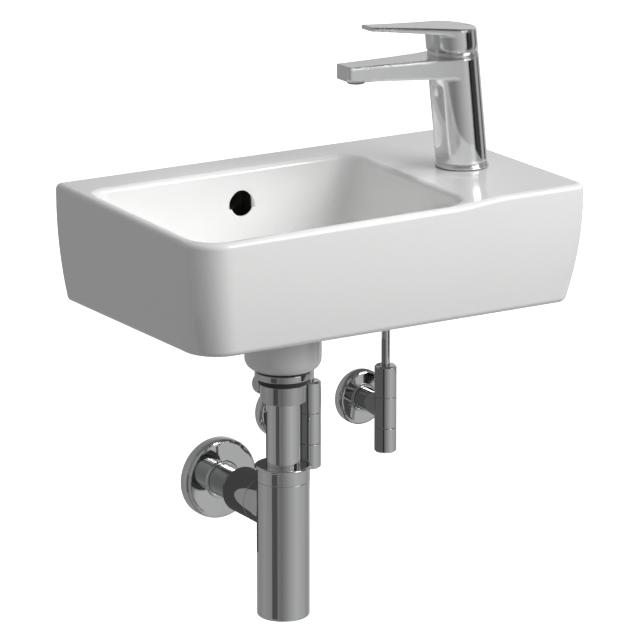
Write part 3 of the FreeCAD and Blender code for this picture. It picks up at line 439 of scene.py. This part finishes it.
# ---- geometry nodes ----------------------------------------------------------
class Tree:
    """A Geometry Nodes tree with named inputs."""

    def __init__(self, name, sizes, counts=()):
        self.group = bpy.data.node_groups.new(name, "GeometryNodeTree")
        self.ids = {}
        for label in list(sizes) + list(counts):
            kind = "NodeSocketInt" if label in counts else "NodeSocketFloat"
            socket = self.group.interface.new_socket(label, in_out="INPUT", socket_type=kind)
            self.ids[label] = socket.identifier
        finish = self.group.interface.new_socket("Finish", in_out="INPUT", socket_type="NodeSocketMaterial")
        self.ids["Finish"] = finish.identifier
        self.group.interface.new_socket("Geometry", in_out="OUTPUT", socket_type="NodeSocketGeometry")
        self.entry = self.group.nodes.new("NodeGroupInput")

    def given(self, label):
        return self.entry.outputs[label]

    def add(self, kind, settings, inputs, output=0):
        made = self.group.nodes.new(kind)
        for key, value in settings.items():
            setattr(made, key, value)
        for key, value in inputs.items():
            socket = made.inputs[key]
            links = value if isinstance(value, list) else [value]
            for item in links:
                if isinstance(item, bpy.types.NodeSocket):
                    self.group.links.new(item, socket)
                else:
                    socket.default_value = item
        return made.outputs[output]

    def math(self, operation, first, second):
        return self.add("ShaderNodeMath", {"operation": operation}, {0: first, 1: second})

    def finish(self, geometry):
        solid = self.add("GeometryNodeRealizeInstances", {}, {0: geometry})
        done = self.add("GeometryNodeSetMaterial", {}, {"Geometry": solid, "Material": self.given("Finish")})
        exit_node = self.group.nodes.new("NodeGroupOutput")
        self.group.links.new(done, exit_node.inputs[0])

    def bake(self, **values):
        """Runs the tree with these inputs and returns the mesh."""
        holder = bpy.data.objects.new("holder", bpy.data.meshes.new("holder"))
        bpy.context.scene.collection.objects.link(holder)
        modifier = holder.modifiers.new("tree", "NODES")
        modifier.node_group = self.group
        for label, value in values.items():
            modifier[self.ids[label.replace("_", " ").capitalize()]] = value
        seen = holder.evaluated_get(bpy.context.evaluated_depsgraph_get())
        mesh = bpy.data.meshes.new_from_object(seen)
        bpy.data.objects.remove(holder, do_unlink=True)
        return mesh


def thread_tree():
    """Helical ridge on a core that stands on the local vertical."""
    t = Tree("thread", ["Radius", "Depth", "Pitch", "Length", "Core end"])
    core_r = t.math("SUBTRACT", t.given("Radius"), t.given("Depth"))
    turns = t.math("DIVIDE", t.given("Length"), t.given("Pitch"))
    helix = t.add("GeometryNodeCurveSpiral", {}, {
        "Resolution": 28, "Rotations": turns, "Start Radius": core_r, "End Radius": core_r,
        "Height": t.given("Length")})
    upright = t.add("GeometryNodeSetCurveNormal", {"mode": "Z_UP"}, {0: helix})
    rhomb = t.add("GeometryNodeCurvePrimitiveCircle", {}, {"Resolution": 4, "Radius": t.given("Depth")})
    ridge = t.add("GeometryNodeCurveToMesh", {}, {
        "Curve": upright, "Profile Curve": rhomb, "Fill Caps": True})
    rod = t.add("GeometryNodeMeshCylinder", {}, {
        "Vertices": 48, "Radius": core_r, "Depth": t.given("Core end")})
    lift = t.add("ShaderNodeCombineXYZ", {}, {2: t.math("DIVIDE", t.given("Core end"), 2.0)})
    rod = t.add("GeometryNodeTransform", {}, {"Geometry": rod, "Translation": lift})
    t.finish(t.add("GeometryNodeJoinGeometry", {}, {0: [ridge, rod]}))
    return t


def comb_tree():
    """Honeycomb of thin cells inside a circle."""
    t = Tree("honeycomb", ["Radius", "Cell", "Wall", "Depth"], ["Rows"])
    step_y = t.math("MULTIPLY", t.given("Cell"), math.sqrt(3) / 2)
    size_x = t.math("MULTIPLY", t.given("Cell"), t.math("SUBTRACT", t.given("Rows"), 1))
    size_y = t.math("MULTIPLY", step_y, t.math("SUBTRACT", t.given("Rows"), 1))
    grid = t.add("GeometryNodeMeshGrid", {}, {
        "Size X": size_x, "Size Y": size_y, "Vertices X": t.given("Rows"), "Vertices Y": t.given("Rows")})
    place_now = t.add("GeometryNodeInputPosition", {}, {})
    height = t.add("ShaderNodeSeparateXYZ", {}, {0: place_now}, 1)
    row = t.math("ROUND", t.math("DIVIDE", height, step_y), 0.0)
    odd = t.math("FLOORED_MODULO", row, 2.0)
    half_cell = t.math("MULTIPLY", t.given("Cell"), 0.5)
    shift = t.add("ShaderNodeCombineXYZ", {}, {0: t.math("MULTIPLY", odd, half_cell)})
    points = t.add("GeometryNodeSetPosition", {}, {"Geometry": grid, "Offset": shift})
    distance = t.add("ShaderNodeVectorMath", {"operation": "LENGTH"}, {0: place_now}, "Value")
    limit = t.math("SUBTRACT", t.given("Radius"), t.math("MULTIPLY", t.given("Cell"), 0.35))
    outside = t.add("FunctionNodeCompare", {"operation": "GREATER_THAN"}, {0: distance, 1: limit})
    kept = t.add("GeometryNodeDeleteGeometry", {}, {"Geometry": points, "Selection": outside})
    hexagon = t.add("GeometryNodeCurvePrimitiveCircle", {}, {
        "Resolution": 6, "Radius": t.math("DIVIDE", t.given("Cell"), math.sqrt(3))})
    turned = t.add("GeometryNodeTransform", {}, {"Geometry": hexagon, "Rotation": (0, 0, math.radians(30))})
    section = t.add("GeometryNodeCurvePrimitiveQuadrilateral", {}, {
        "Width": t.given("Wall"), "Height": t.given("Depth")})
    cell = t.add("GeometryNodeCurveToMesh", {}, {
        "Curve": turned, "Profile Curve": section, "Fill Caps": False})
    t.finish(t.add("GeometryNodeInstanceOnPoints", {}, {"Points": kept, "Instance": cell}))
    return t


def flute_tree():
    """Small upright ribs set round a circle."""
    t = Tree("flutes", ["Radius", "Width", "Depth", "Height"], ["Count"])
    circle = t.add("GeometryNodeMeshCircle", {}, {"Vertices": t.given("Count"), "Radius": t.given("Radius")})
    rib = t.add("GeometryNodeMeshCylinder", {}, {
        "Vertices": 8, "Radius": t.math("DIVIDE", t.given("Width"), 2.0), "Depth": t.given("Height")})
    lift = t.add("ShaderNodeCombineXYZ", {}, {2: t.math("DIVIDE", t.given("Height"), 2.0)})
    rib = t.add("GeometryNodeTransform", {}, {"Geometry": rib, "Translation": lift})
    t.finish(t.add("GeometryNodeInstanceOnPoints", {}, {"Points": circle, "Instance": rib}))
    return t


# ---- sizes and colours a user may change --------------------------------------
class BasinFinish(bpy.types.PropertyGroup):
    glaze_colour: FloatVectorProperty(
        name="Glaze", description="Colour of the glaze", subtype="COLOR", size=3, default=(0.90, 0.90, 0.895),
        min=0, max=1)
    clay_colour: FloatVectorProperty(
        name="Clay", description="Colour of the bare back", subtype="COLOR", size=3,
        default=(0.80, 0.76, 0.70), min=0, max=1)
    # painted shade: the near-black colour inside the overflow
    duct_shade_colour: FloatVectorProperty(
        name="Duct", description="Colour inside the overflow", subtype="COLOR", size=3,
        default=(0.035, 0.031, 0.027), min=0, max=1)
    glaze_coat: FloatProperty(
        name="Glaze coat", description="Strength of the gloss layer", default=1.0, min=0, max=1)
    chrome_colour: FloatVectorProperty(
        name="Chrome", description="Colour of the plate", subtype="COLOR", size=3,
        default=(0.80, 0.805, 0.81), min=0, max=1)
    chrome_roughness: FloatProperty(
        name="Chrome roughness", description="Roughness of clean plate", default=0.035, min=0, max=1)
    steel_colour: FloatVectorProperty(
        name="Steel", description="Colour of the zinc plate", subtype="COLOR", size=3,
        default=(0.66, 0.68, 0.69), min=0, max=1)
    brass_colour: FloatVectorProperty(
        name="Brass", description="Colour of bare brass", subtype="COLOR", size=3, default=(0.80, 0.60, 0.28),
        min=0, max=1)
    rubber_colour: FloatVectorProperty(
        name="Rubber", description="Colour of the seals", subtype="COLOR", size=3,
        default=(0.022, 0.022, 0.023), min=0, max=1)
    plastic_colour: FloatVectorProperty(
        name="Plastic", description="Colour of the moulded parts", subtype="COLOR", size=3,
        default=(0.80, 0.80, 0.78), min=0, max=1)


class BasinThreads(bpy.types.PropertyGroup):
    bolt_pitch: FloatProperty(
        name="Bolt pitch", description="Pitch of the hanger bolts' nut thread", default=1.5 * MM,
        unit="LENGTH")
    screw_pitch: FloatProperty(
        name="Screw pitch", description="Pitch of the hanger bolts' wall thread", default=4.0 * MM,
        unit="LENGTH")
    stud_pitch: FloatProperty(
        name="Stud pitch", description="Pitch of the tap's stud", default=1.25 * MM, unit="LENGTH")


class BasinAerator(bpy.types.PropertyGroup):
    cell: FloatProperty(
        name="Cell", description="Width of one honeycomb cell", default=1.5 * MM, unit="LENGTH")
    wall: FloatProperty(
        name="Cell wall", description="Thickness between two cells", default=0.3 * MM, unit="LENGTH")
    ribs: IntProperty(
        name="Ribs", description="Grip ribs round the aerator", default=36, min=8, max=90)


class BasinStage(bpy.types.PropertyGroup):
    floor_drop: FloatProperty(
        name="Floor", description="Floor below the bolts' line", default=0.78, unit="LENGTH")
    key_power: FloatProperty(
        name="Key", description="Power of the large soft lamp", default=95.0, min=0)
    key_way: FloatVectorProperty(
        name="Key direction", description="From the basin to the lamp", subtype="DIRECTION", size=3,
        default=(0.52, -0.70, 0.50))
    bowl_power: FloatProperty(
        name="Bowl lamp", description="Power of the soft spot over the bowl", default=21.0, min=0)
    fill: FloatProperty(
        name="Fill", description="Light from all round", default=0.31, min=0)


# ---- pieces ------------------------------------------------------------------
class BASIN_OT_ceramic(bpy.types.Operator):
    """Glazes the basin"""
    bl_idname = "basin.ceramic"
    bl_label = "Ceramic"

    def execute(self, context):
        dress("glaze", "basin")
        return {"FINISHED"}


class BASIN_OT_fixings(bpy.types.Operator):
    """Cuts real threads and nuts on the wall fixings"""
    bl_idname = "basin.fixings"
    bl_label = "Wall fixings"

    def execute(self, context):
        threads = context.scene.basin_threads
        dress("steel", "bolt_washers")
        dress("plastic", "bolt_bushes")
        low, high = span("hanger_bolts")
        radius = (high.z - low.z) / 2
        shank = radius - SHANK_INSET
        machine = thread_tree()
        nut_low, nut_high = span("bolt_nuts")
        across = nut_high.z - nut_low.z
        height = nut_high.y - nut_low.y
        between_bolts = (nut_low.x + nut_high.x) / 2
        places = between_bolts - BOLT_OFFSET, between_bolts + BOLT_OFFSET
        steel = material_for("steel")
        front = machine.bake(radius=shank, depth=0.55 * MM, pitch=threads.bolt_pitch, finish=steel,
                             length=-low.y - 1.0 * MM, core_end=-low.y + 1.0 * MM)
        screw_depth = 1.1 * MM
        rear = machine.bake(radius=radius, depth=screw_depth, pitch=threads.screw_pitch, finish=steel,
                            length=high.y - BOLT_TIP - 3 * MM, core_end=high.y - BOLT_TIP)

        def bolts(made):
            for x in places:
                turn = Matrix.Translation((x, 0, middle("hanger_bolts").z)) @ TO_WALL
                for mesh, start in ((front, low.y), (rear, 1.0 * MM)):
                    part = mesh.copy()
                    part.transform(turn @ Matrix.Translation((0, 0, start)))
                    made.from_mesh(part)
                tip = high.y - BOLT_TIP
                core = radius - screw_depth
                axis = 0.0001 * MM
                add_lathe(made, [(core, 0), (core * 0.5, 3.5 * MM), (0.6 * MM, BOLT_TIP), (axis, BOLT_TIP),
                                 (axis, 0)], turn @ Matrix.Translation((0, 0, tip)), 32)

        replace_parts(new_object("threaded_bolts", bolts, "steel", "fixed", "steel"), "hanger_bolts")

        def nuts(made):
            for x in places:
                turn = Matrix.Translation((x, 0, middle("bolt_nuts").z)) @ TO_WALL
                add_nut(made, across, shank - 0.4 * MM, height, turn @ Matrix.Translation((0, 0, nut_low.y)),
                        threads.bolt_pitch)

        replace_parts(new_object("chamfered_nuts", nuts, "steel", "fixed", "steel"), "bolt_nuts")
        return {"FINISHED"}


class BASIN_OT_waste(bpy.types.Operator):
    """Finishes the waste, from the plug down to the collar"""
    bl_idname = "basin.waste"
    bl_label = "Waste"

    def execute(self, context):
        dress("waste chrome with painted shade", "waste_flange", "waste_plug", "back_nut", "waste_lower_body", "port_nut")
        dress("rubber", "flange_seal", "plug_seal", "boss_gasket", "waste_neck_seal")
        dress("plastic", "waste_guide")
        return {"FINISHED"}


class BASIN_OT_trap(bpy.types.Operator):
    """Finishes the bottle trap and its pipe to the wall"""
    bl_idname = "basin.trap"
    bl_label = "Bottle trap"

    def execute(self, context):
        dress("tube chrome with painted shade", "tail_tube", "outlet_pipe")
        dress("trap chrome with painted shade", "trap_ring_nut", "trap_body", "outlet_nut", "trap_rosette")
        dress("rubber", "trap_tube_seal", "outlet_seal")
        return {"FINISHED"}


class BASIN_OT_valves(bpy.types.Operator):
    """Finishes the angle valves and the risers"""
    bl_idname = "basin.valves"
    bl_label = "Angle valves"

    def execute(self, context):
        dress("valve chrome with painted shade", "valve_body_left", "valve_body_right", "valve_rosettes", "valve_nuts",
              "valve_handle_left", "valve_handle_right")
        dress("tube chrome with painted shade", "riser_left", "riser_right")
        dress("brass", "valve_olives", "valve_spindle_left", "valve_spindle_right")
        return {"FINISHED"}


class BASIN_OT_tap(bpy.types.Operator):
    """Finishes the tap and builds its aerator, stud and nut"""
    bl_idname = "basin.tap"
    bl_label = "Tap"

    def execute(self, context):
        dress("tap chrome", "tap_body", "dome_cover", "tap_lever")
        dress("rubber", "tap_base_seal", "deck_gasket")
        dress("steel", "deck_washer", "pivot_pin", "lever_spindle", "lever_screw")
        dress("brass", "cartridge_nut")
        dress("plastic", "cartridge", "cartridge_rotor")
        self.foot()
        self.cap()
        self.stud(context)
        self.aerator(context)
        return {"FINISHED"}

    def foot(self):
        """Slim ring under the body, with a skirt that carries the body's side down to it."""
        low, high = span("tap_base_ring")
        centre = middle("tap_base_ring")
        height = high.z - low.z
        profile = [(18.5, 0.0), (24.6, 0.0), (24.85, 0.3), (24.85, 0.9), (24.6, 1.3), (24.1, 1.5),
                   (23.6, 1.6), (23.5, 1.8), (23.5, height / MM), (18.5, height / MM)]

        def ring(made):
            add_lathe(made, [(radius * MM, level * MM) for radius, level in profile],
                      Matrix.Translation((centre.x, centre.y, low.z)), 128)

        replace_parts(new_object("slim_base_ring", ring, "tap chrome", "fixed", "chrome"), "tap_base_ring")

    def cap(self):
        """Plug over the lever's screw, cut flush with the lever's sloping top and its rounded edge."""
        high = span("lever_cap")[1]
        edge = Vector((high.x - 0.35 * MM, 0, 0.0))
        edge.z = LEVER_CREST.z - LEVER_FALL * (edge.x - LEVER_CREST.x) - 0.3 * MM
        cuts = ((LEVER_CREST, Vector((LEVER_FALL, 0, 1)).normalized()),
                (edge, Vector((1, 0, 1)).normalized()))

        def plug(made):
            made.from_mesh(node("lever_cap").data)
            bmesh.ops.remove_doubles(made, verts=made.verts, dist=MERGE_DISTANCE)
            for point, normal in cuts:
                parts = made.verts[:] + made.edges[:] + made.faces[:]
                result = bmesh.ops.bisect_plane(made, geom=parts, plane_co=point, plane_no=normal,
                                                clear_outer=True)
                rim = [item for item in result["geom_cut"] if isinstance(item, bmesh.types.BMEdge)]
                if rim:
                    bmesh.ops.contextual_create(made, geom=rim)

        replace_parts(new_object("flush_lever_cap", plug, "tap chrome", "lever", "plastic"), "lever_cap")

    def stud(self, context):
        pitch = context.scene.basin_threads.stud_pitch
        low, high = span("mounting_stud")
        radius = (high.x - low.x) / 2
        centre = middle("mounting_stud")
        mesh = thread_tree().bake(radius=radius, depth=0.5 * MM, pitch=pitch, finish=material_for("brass"),
                                  length=high.z - low.z - 2 * MM, core_end=high.z - low.z)

        def stud(made):
            mesh.transform(Matrix.Translation((centre.x, centre.y, low.z)))
            made.from_mesh(mesh)

        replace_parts(new_object("threaded_stud", stud, "brass", "fixed", "brass"), "mounting_stud")
        nut_low, nut_high = span("stud_nut")

        def nut(made):
            where = Matrix.Translation((centre.x, centre.y, nut_low.z))
            add_nut(made, nut_high.y - nut_low.y, radius - 0.35 * MM, nut_high.z - nut_low.z, where, pitch)

        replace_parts(new_object("chamfered_stud_nut", nut, "brass", "fixed", "brass"), "stud_nut")

    def aerator(self, context):
        sizes = context.scene.basin_aerator
        low, high = span("tap_aerator")
        centre = middle("tap_aerator")
        radius = (high.x - low.x) / 2
        comb = comb_tree().bake(radius=radius - 2.0 * MM, cell=sizes.cell, wall=sizes.wall, depth=1.6 * MM,
                                rows=13, finish=material_for("plastic"))
        ribs = flute_tree().bake(radius=radius - 0.55 * MM, width=0.9 * MM, depth=0.4 * MM, height=3.2 * MM,
                                 count=sizes.ribs, finish=material_for("plastic"))

        def insert(made):
            comb.transform(Matrix.Translation((centre.x, centre.y, low.z + 2.6 * MM)))
            made.from_mesh(comb)
            inner = radius - 1.9 * MM
            collar = radius - 0.2 * MM
            grip = radius - 0.55 * MM
            height = high.z - low.z
            add_lathe(made, [(inner, 0.6 * MM), (inner, height), (collar, height), (collar, 4.4 * MM),
                             (grip, 4.0 * MM), (grip, 0.5 * MM), (radius - 1.0 * MM, 0.0),
                             (inner + 0.4 * MM, 0.0)],
                      Matrix.Translation((centre.x, centre.y, low.z)), 72)
            ribs.transform(Matrix.Translation((centre.x, centre.y, low.z + 0.6 * MM)))
            made.from_mesh(ribs)

        piece = new_object("honeycomb_aerator", insert, "grey plastic", "fixed", "plastic")
        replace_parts(piece, "tap_aerator")


class BASIN_OT_stage(bpy.types.Operator):
    """Sets the floor, the light and the camera"""
    bl_idname = "basin.stage"
    bl_label = "Stage"

    def execute(self, context):
        stage = context.scene.basin_stage
        self.camera(context)
        self.floor(stage)
        self.world(context, stage)
        self.lamps(context, stage)
        self.cards(stage)
        context.scene.view_settings.view_transform = "Standard"
        return {"FINISHED"}

    def camera(self, context):
        data = bpy.data.cameras.new("camera")
        data.lens = CAMERA_LENS
        data.sensor_width = SENSOR_WIDTH
        data.clip_end = 100.0
        camera = bpy.data.objects.new("camera", data)
        context.scene.collection.objects.link(camera)
        camera.location = CAMERA_PLACE
        camera.rotation_euler = CAMERA_LOOK.to_track_quat("-Z", "Y").to_euler()
        context.scene.camera = camera

    def floor(self, stage):
        mesh = bpy.data.meshes.new("floor")
        corners = [(x * FLOOR_HALF_WIDTH, y * FLOOR_HALF_WIDTH, -stage.floor_drop)
                   for x, y in ((-1, -1), (1, -1), (1, 1), (-1, 1))]
        mesh.from_pydata(corners, [], [(0, 1, 2, 3)])
        floor = bpy.data.objects.new("floor", mesh)
        bpy.context.scene.collection.objects.link(floor)
        material, g = new_graph("pale floor")
        shade = g.noise(g.point(), 1.2, 2.0)
        colour = g.mix(shade, (0.93, 0.93, 0.93, 1), (0.90, 0.90, 0.90, 1))
        matt = g.add("ShaderNodeBsdfDiffuse", {}, {"Color": colour})
        glow = g.add("ShaderNodeEmission", {}, {"Color": (1, 1, 1, 1), "Strength": 1.0})
        both = g.add("ShaderNodeAddShader", {}, {0: matt, 1: glow})
        back = g.add("ShaderNodeNewGeometry", {}, {}, "Backfacing")
        clear = g.add("ShaderNodeBsdfTransparent", {}, {})
        seen = g.add("ShaderNodeMixShader", {}, {0: back, 1: both, 2: clear})
        g.add("ShaderNodeOutputMaterial", {}, {"Surface": seen})
        mesh.materials.append(material)
        floor.visible_glossy = False
        floor.visible_diffuse = False

    def world(self, context, stage):
        world = bpy.data.worlds.new("studio")
        world.use_nodes = True
        context.scene.world = world
        g = Graph(world.node_tree)
        way = g.add("ShaderNodeTexCoord", {}, {}, "Generated")
        x = g.axis(way, 0)
        y = g.axis(way, 1)
        z = g.axis(way, 2)
        right = x * math.cos(CAMERA_YAW) - y * math.sin(CAMERA_YAW)
        ahead = x * math.sin(CAMERA_YAW) + y * math.cos(CAMERA_YAW)
        turn = g.add("ShaderNodeMath", {"operation": "ARCTAN2"}, {0: right, 1: -ahead}) / (2 * math.pi) + 0.5
        round_view = ((-180, 0.52), (-158, 0.36), (-120, 0.33), (-90, 0.40), (-60, 0.34), (-20, 0.24),
                      (-8, 0.21), (0, 0.25), (15, 0.34), (30, 0.45), (60, 0.60), (75, 0.56), (100, 0.50),
                      (130, 0.38), (150, 0.56), (165, 0.78), (179, 0.56))
        level = g.ramp(turn, [((degrees + 180) / 360, grey) for degrees, grey in round_view])
        high = g.add("ShaderNodeMapRange", {}, {0: z, 1: 0.35, 2: 0.85, 3: 0.0, 4: 1.0})
        seen = g.mix(high, level, (0.26, 0.26, 0.26, 1))
        light = (g.add("ShaderNodeMapRange", {}, {0: z, 1: -1.0, 2: 1.0, 3: 0.62, 4: 1.10})) * stage.fill
        paths = g.add("ShaderNodeLightPath", {}, {}, "Is Camera Ray")
        gloss = g.add("ShaderNodeLightPath", {}, {}, "Is Glossy Ray")
        soft = g.add("ShaderNodeBackground", {}, {"Color": light, "Strength": 1.0})
        mirror = g.add("ShaderNodeBackground", {}, {"Color": seen, "Strength": 1.0})
        white = g.add("ShaderNodeBackground", {}, {"Color": (1, 1, 1, 1), "Strength": 1.0})
        lit = g.add("ShaderNodeMixShader", {}, {0: gloss, 1: soft, 2: mirror})
        both = g.add("ShaderNodeMixShader", {}, {0: paths, 1: lit, 2: white})
        g.add("ShaderNodeOutputWorld", {}, {"Surface": both})

    def lamps(self, context, stage):
        data = bpy.data.lights.new("key", "AREA")
        data.shape = "RECTANGLE"
        data.size = 2.2
        data.size_y = 2.0
        data.energy = stage.key_power
        key = bpy.data.objects.new("key", data)
        context.scene.collection.objects.link(key)
        way = Vector(stage.key_way).normalized()
        key.location = MIDDLE + way * KEY_DISTANCE
        key.rotation_euler = (-way).to_track_quat("-Z", "Y").to_euler()
        key.visible_glossy = False
        data = bpy.data.lights.new("bowl", "SPOT")
        data.spot_size = math.radians(19)
        data.spot_blend = 0.9
        data.shadow_soft_size = 0.08
        data.energy = stage.bowl_power
        bowl = bpy.data.objects.new("bowl", data)
        context.scene.collection.objects.link(bowl)
        bowl.location = (0.28, -0.20, 1.0)
        aim = Vector((-0.04, -0.135, -0.02)) - bowl.location
        bowl.rotation_euler = aim.to_track_quat("-Z", "Y").to_euler()
        bowl.visible_glossy = False

    def cards(self, stage):
        """Dark and bright panels that only the polished parts see."""
        tap = Vector((0.147, -0.1325, 0.0))
        trap = Vector((-0.035, -0.119, 0.0))
        flags = [
            ("tap dark", tap, 0.60, (67, 77), (-0.32, 0.20), 0.0),
            ("tap shade", tap, 0.60, (77, 103), (-0.32, 0.20), 0.05),
            ("tap edge", tap, 0.60, (123, 133), (-0.32, 0.20), 0.01),
            ("tap brow", tap, 0.17, (10, 125), (0.250, 0.60), 0.01),
            ("trap dark", trap, 0.45, (-48, -24), (-0.54, -0.20), 0.10),
        ]
        valves = (("right valve", Vector((0.120, -0.047, 0))), ("left valve", Vector((0.033, -0.054, 0))))
        for name, foot in valves:
            flags.append((name + " shade", foot, 0.045, (-175, -24), (-0.27, -0.125), 0.13))
            flags.append((name + " dark", foot, 0.044, (-24, -10), (-0.27, -0.125), 0.04))
        for name, centre, radius, turns, levels, grey in flags:
            self.flag(name, centre, radius, turns, levels, grey)
        self.window("high window", stage.key_way, 0.8, 0.6, 5.5)
        low, high = span("outlet_nut")
        back = high.y + 4 * MM
        left, right = low.x - 0.016, high.x + 0.05
        bottom, top = low.z - 0.04, high.z + 0.05
        corners = [Vector((x, back, z))
                   for x, z in ((left, bottom), (right, bottom), (right, top), (left, top))]
        self.panel("neck dark", corners, [(0, 1, 2, 3)], 0.07, middle("outlet_nut"))

    def window(self, name, direction, half_width, half_height, strength):
        """Bright panel three metres off, which edges and glaze mirror as a streak."""
        way = Vector(direction).normalized()
        across = way.cross(UP).normalized() * half_width
        upward = across.cross(way).normalized() * half_height
        heart = MIDDLE + way * WINDOW_DISTANCE
        corners = [heart + across * x + upward * y for x, y in ((-1, -1), (1, -1), (1, 1), (-1, 1))]
        self.panel(name, corners, [(0, 1, 2, 3)], strength, Vector((0, 0, 0)))

    def flag(self, name, centre, radius, turns, levels, grey):
        """Upright panel bent round a centre, between two turns from the camera's side."""
        steps = max(1, int(abs(turns[1] - turns[0]) / 12))
        corners = []
        for step in range(steps + 1):
            turn = math.radians(180 - turns[0] - (turns[1] - turns[0]) * step / steps) + CAMERA_YAW
            out = centre + Vector((math.sin(turn), math.cos(turn), 0)) * radius
            corners += [out + UP * levels[0], out + UP * levels[1]]
        faces = [(2 * step, 2 * step + 1, 2 * step + 3, 2 * step + 2) for step in range(steps)]
        self.panel(name, corners, faces, grey, centre + UP * (levels[0] + levels[1]) / 2)

    def panel(self, name, corners, faces, grey, towards):
        """Panel that shines on the side towards a point and that nothing but a mirror sees."""
        mesh = bpy.data.meshes.new(name)
        mesh.from_pydata(corners, [], faces)
        first = mesh.polygons[0]
        if first.normal.dot(towards - first.center) < 0:
            mesh.flip_normals()
        panel = bpy.data.objects.new(name, mesh)
        bpy.context.scene.collection.objects.link(panel)
        material, g = new_graph(name)
        glow = g.add("ShaderNodeEmission", {}, {"Color": (1, 1, 1, 1), "Strength": grey})
        clear = g.add("ShaderNodeBsdfTransparent", {}, {})
        back = g.add("ShaderNodeNewGeometry", {}, {}, "Backfacing")
        inner = g.add("ShaderNodeMixShader", {}, {0: back, 1: glow, 2: clear})
        g.add("ShaderNodeOutputMaterial", {}, {"Surface": inner})
        mesh.materials.append(material)
        panel.visible_camera = False
        panel.visible_diffuse = False
        panel.visible_shadow = False
        panel.visible_transmission = False


STEPS = (BASIN_OT_ceramic, BASIN_OT_fixings, BASIN_OT_waste, BASIN_OT_trap, BASIN_OT_valves, BASIN_OT_tap,
         BASIN_OT_stage)
GROUPS = (("basin_finish", BasinFinish), ("basin_threads", BasinThreads), ("basin_aerator", BasinAerator),
          ("basin_stage", BasinStage))


class BASIN_PT_panel(bpy.types.Panel):
    """Lists the basin's steps and sizes"""
    bl_idname = "BASIN_PT_panel"
    bl_label = "Wall hung basin"
    bl_space_type = "VIEW_3D"
    bl_region_type = "UI"
    bl_category = "Basin"

    def draw(self, context):
        for step in STEPS:
            self.layout.operator(step.bl_idname)
        for name, group in GROUPS:
            box = self.layout.box()
            for key in group.__annotations__:
                box.prop(getattr(context.scene, name), key)


def register():
    for name, group in GROUPS:
        bpy.utils.register_class(group)
        setattr(bpy.types.Scene, name, PointerProperty(type=group))
    for step in STEPS:
        bpy.utils.register_class(step)
    bpy.utils.register_class(BASIN_PT_panel)


def unregister():
    bpy.utils.unregister_class(BASIN_PT_panel)
    for step in reversed(STEPS):
        bpy.utils.unregister_class(step)
    for name, group in reversed(GROUPS):
        delattr(bpy.types.Scene, name)
        bpy.utils.unregister_class(group)


def main():
    register()
    bpy.ops.basin.stage()
    bpy.ops.basin.ceramic()
    bpy.ops.basin.fixings()
    bpy.ops.basin.waste()
    bpy.ops.basin.trap()
    bpy.ops.basin.valves()
    bpy.ops.basin.tap()


if __name__ == "__main__":
    main()
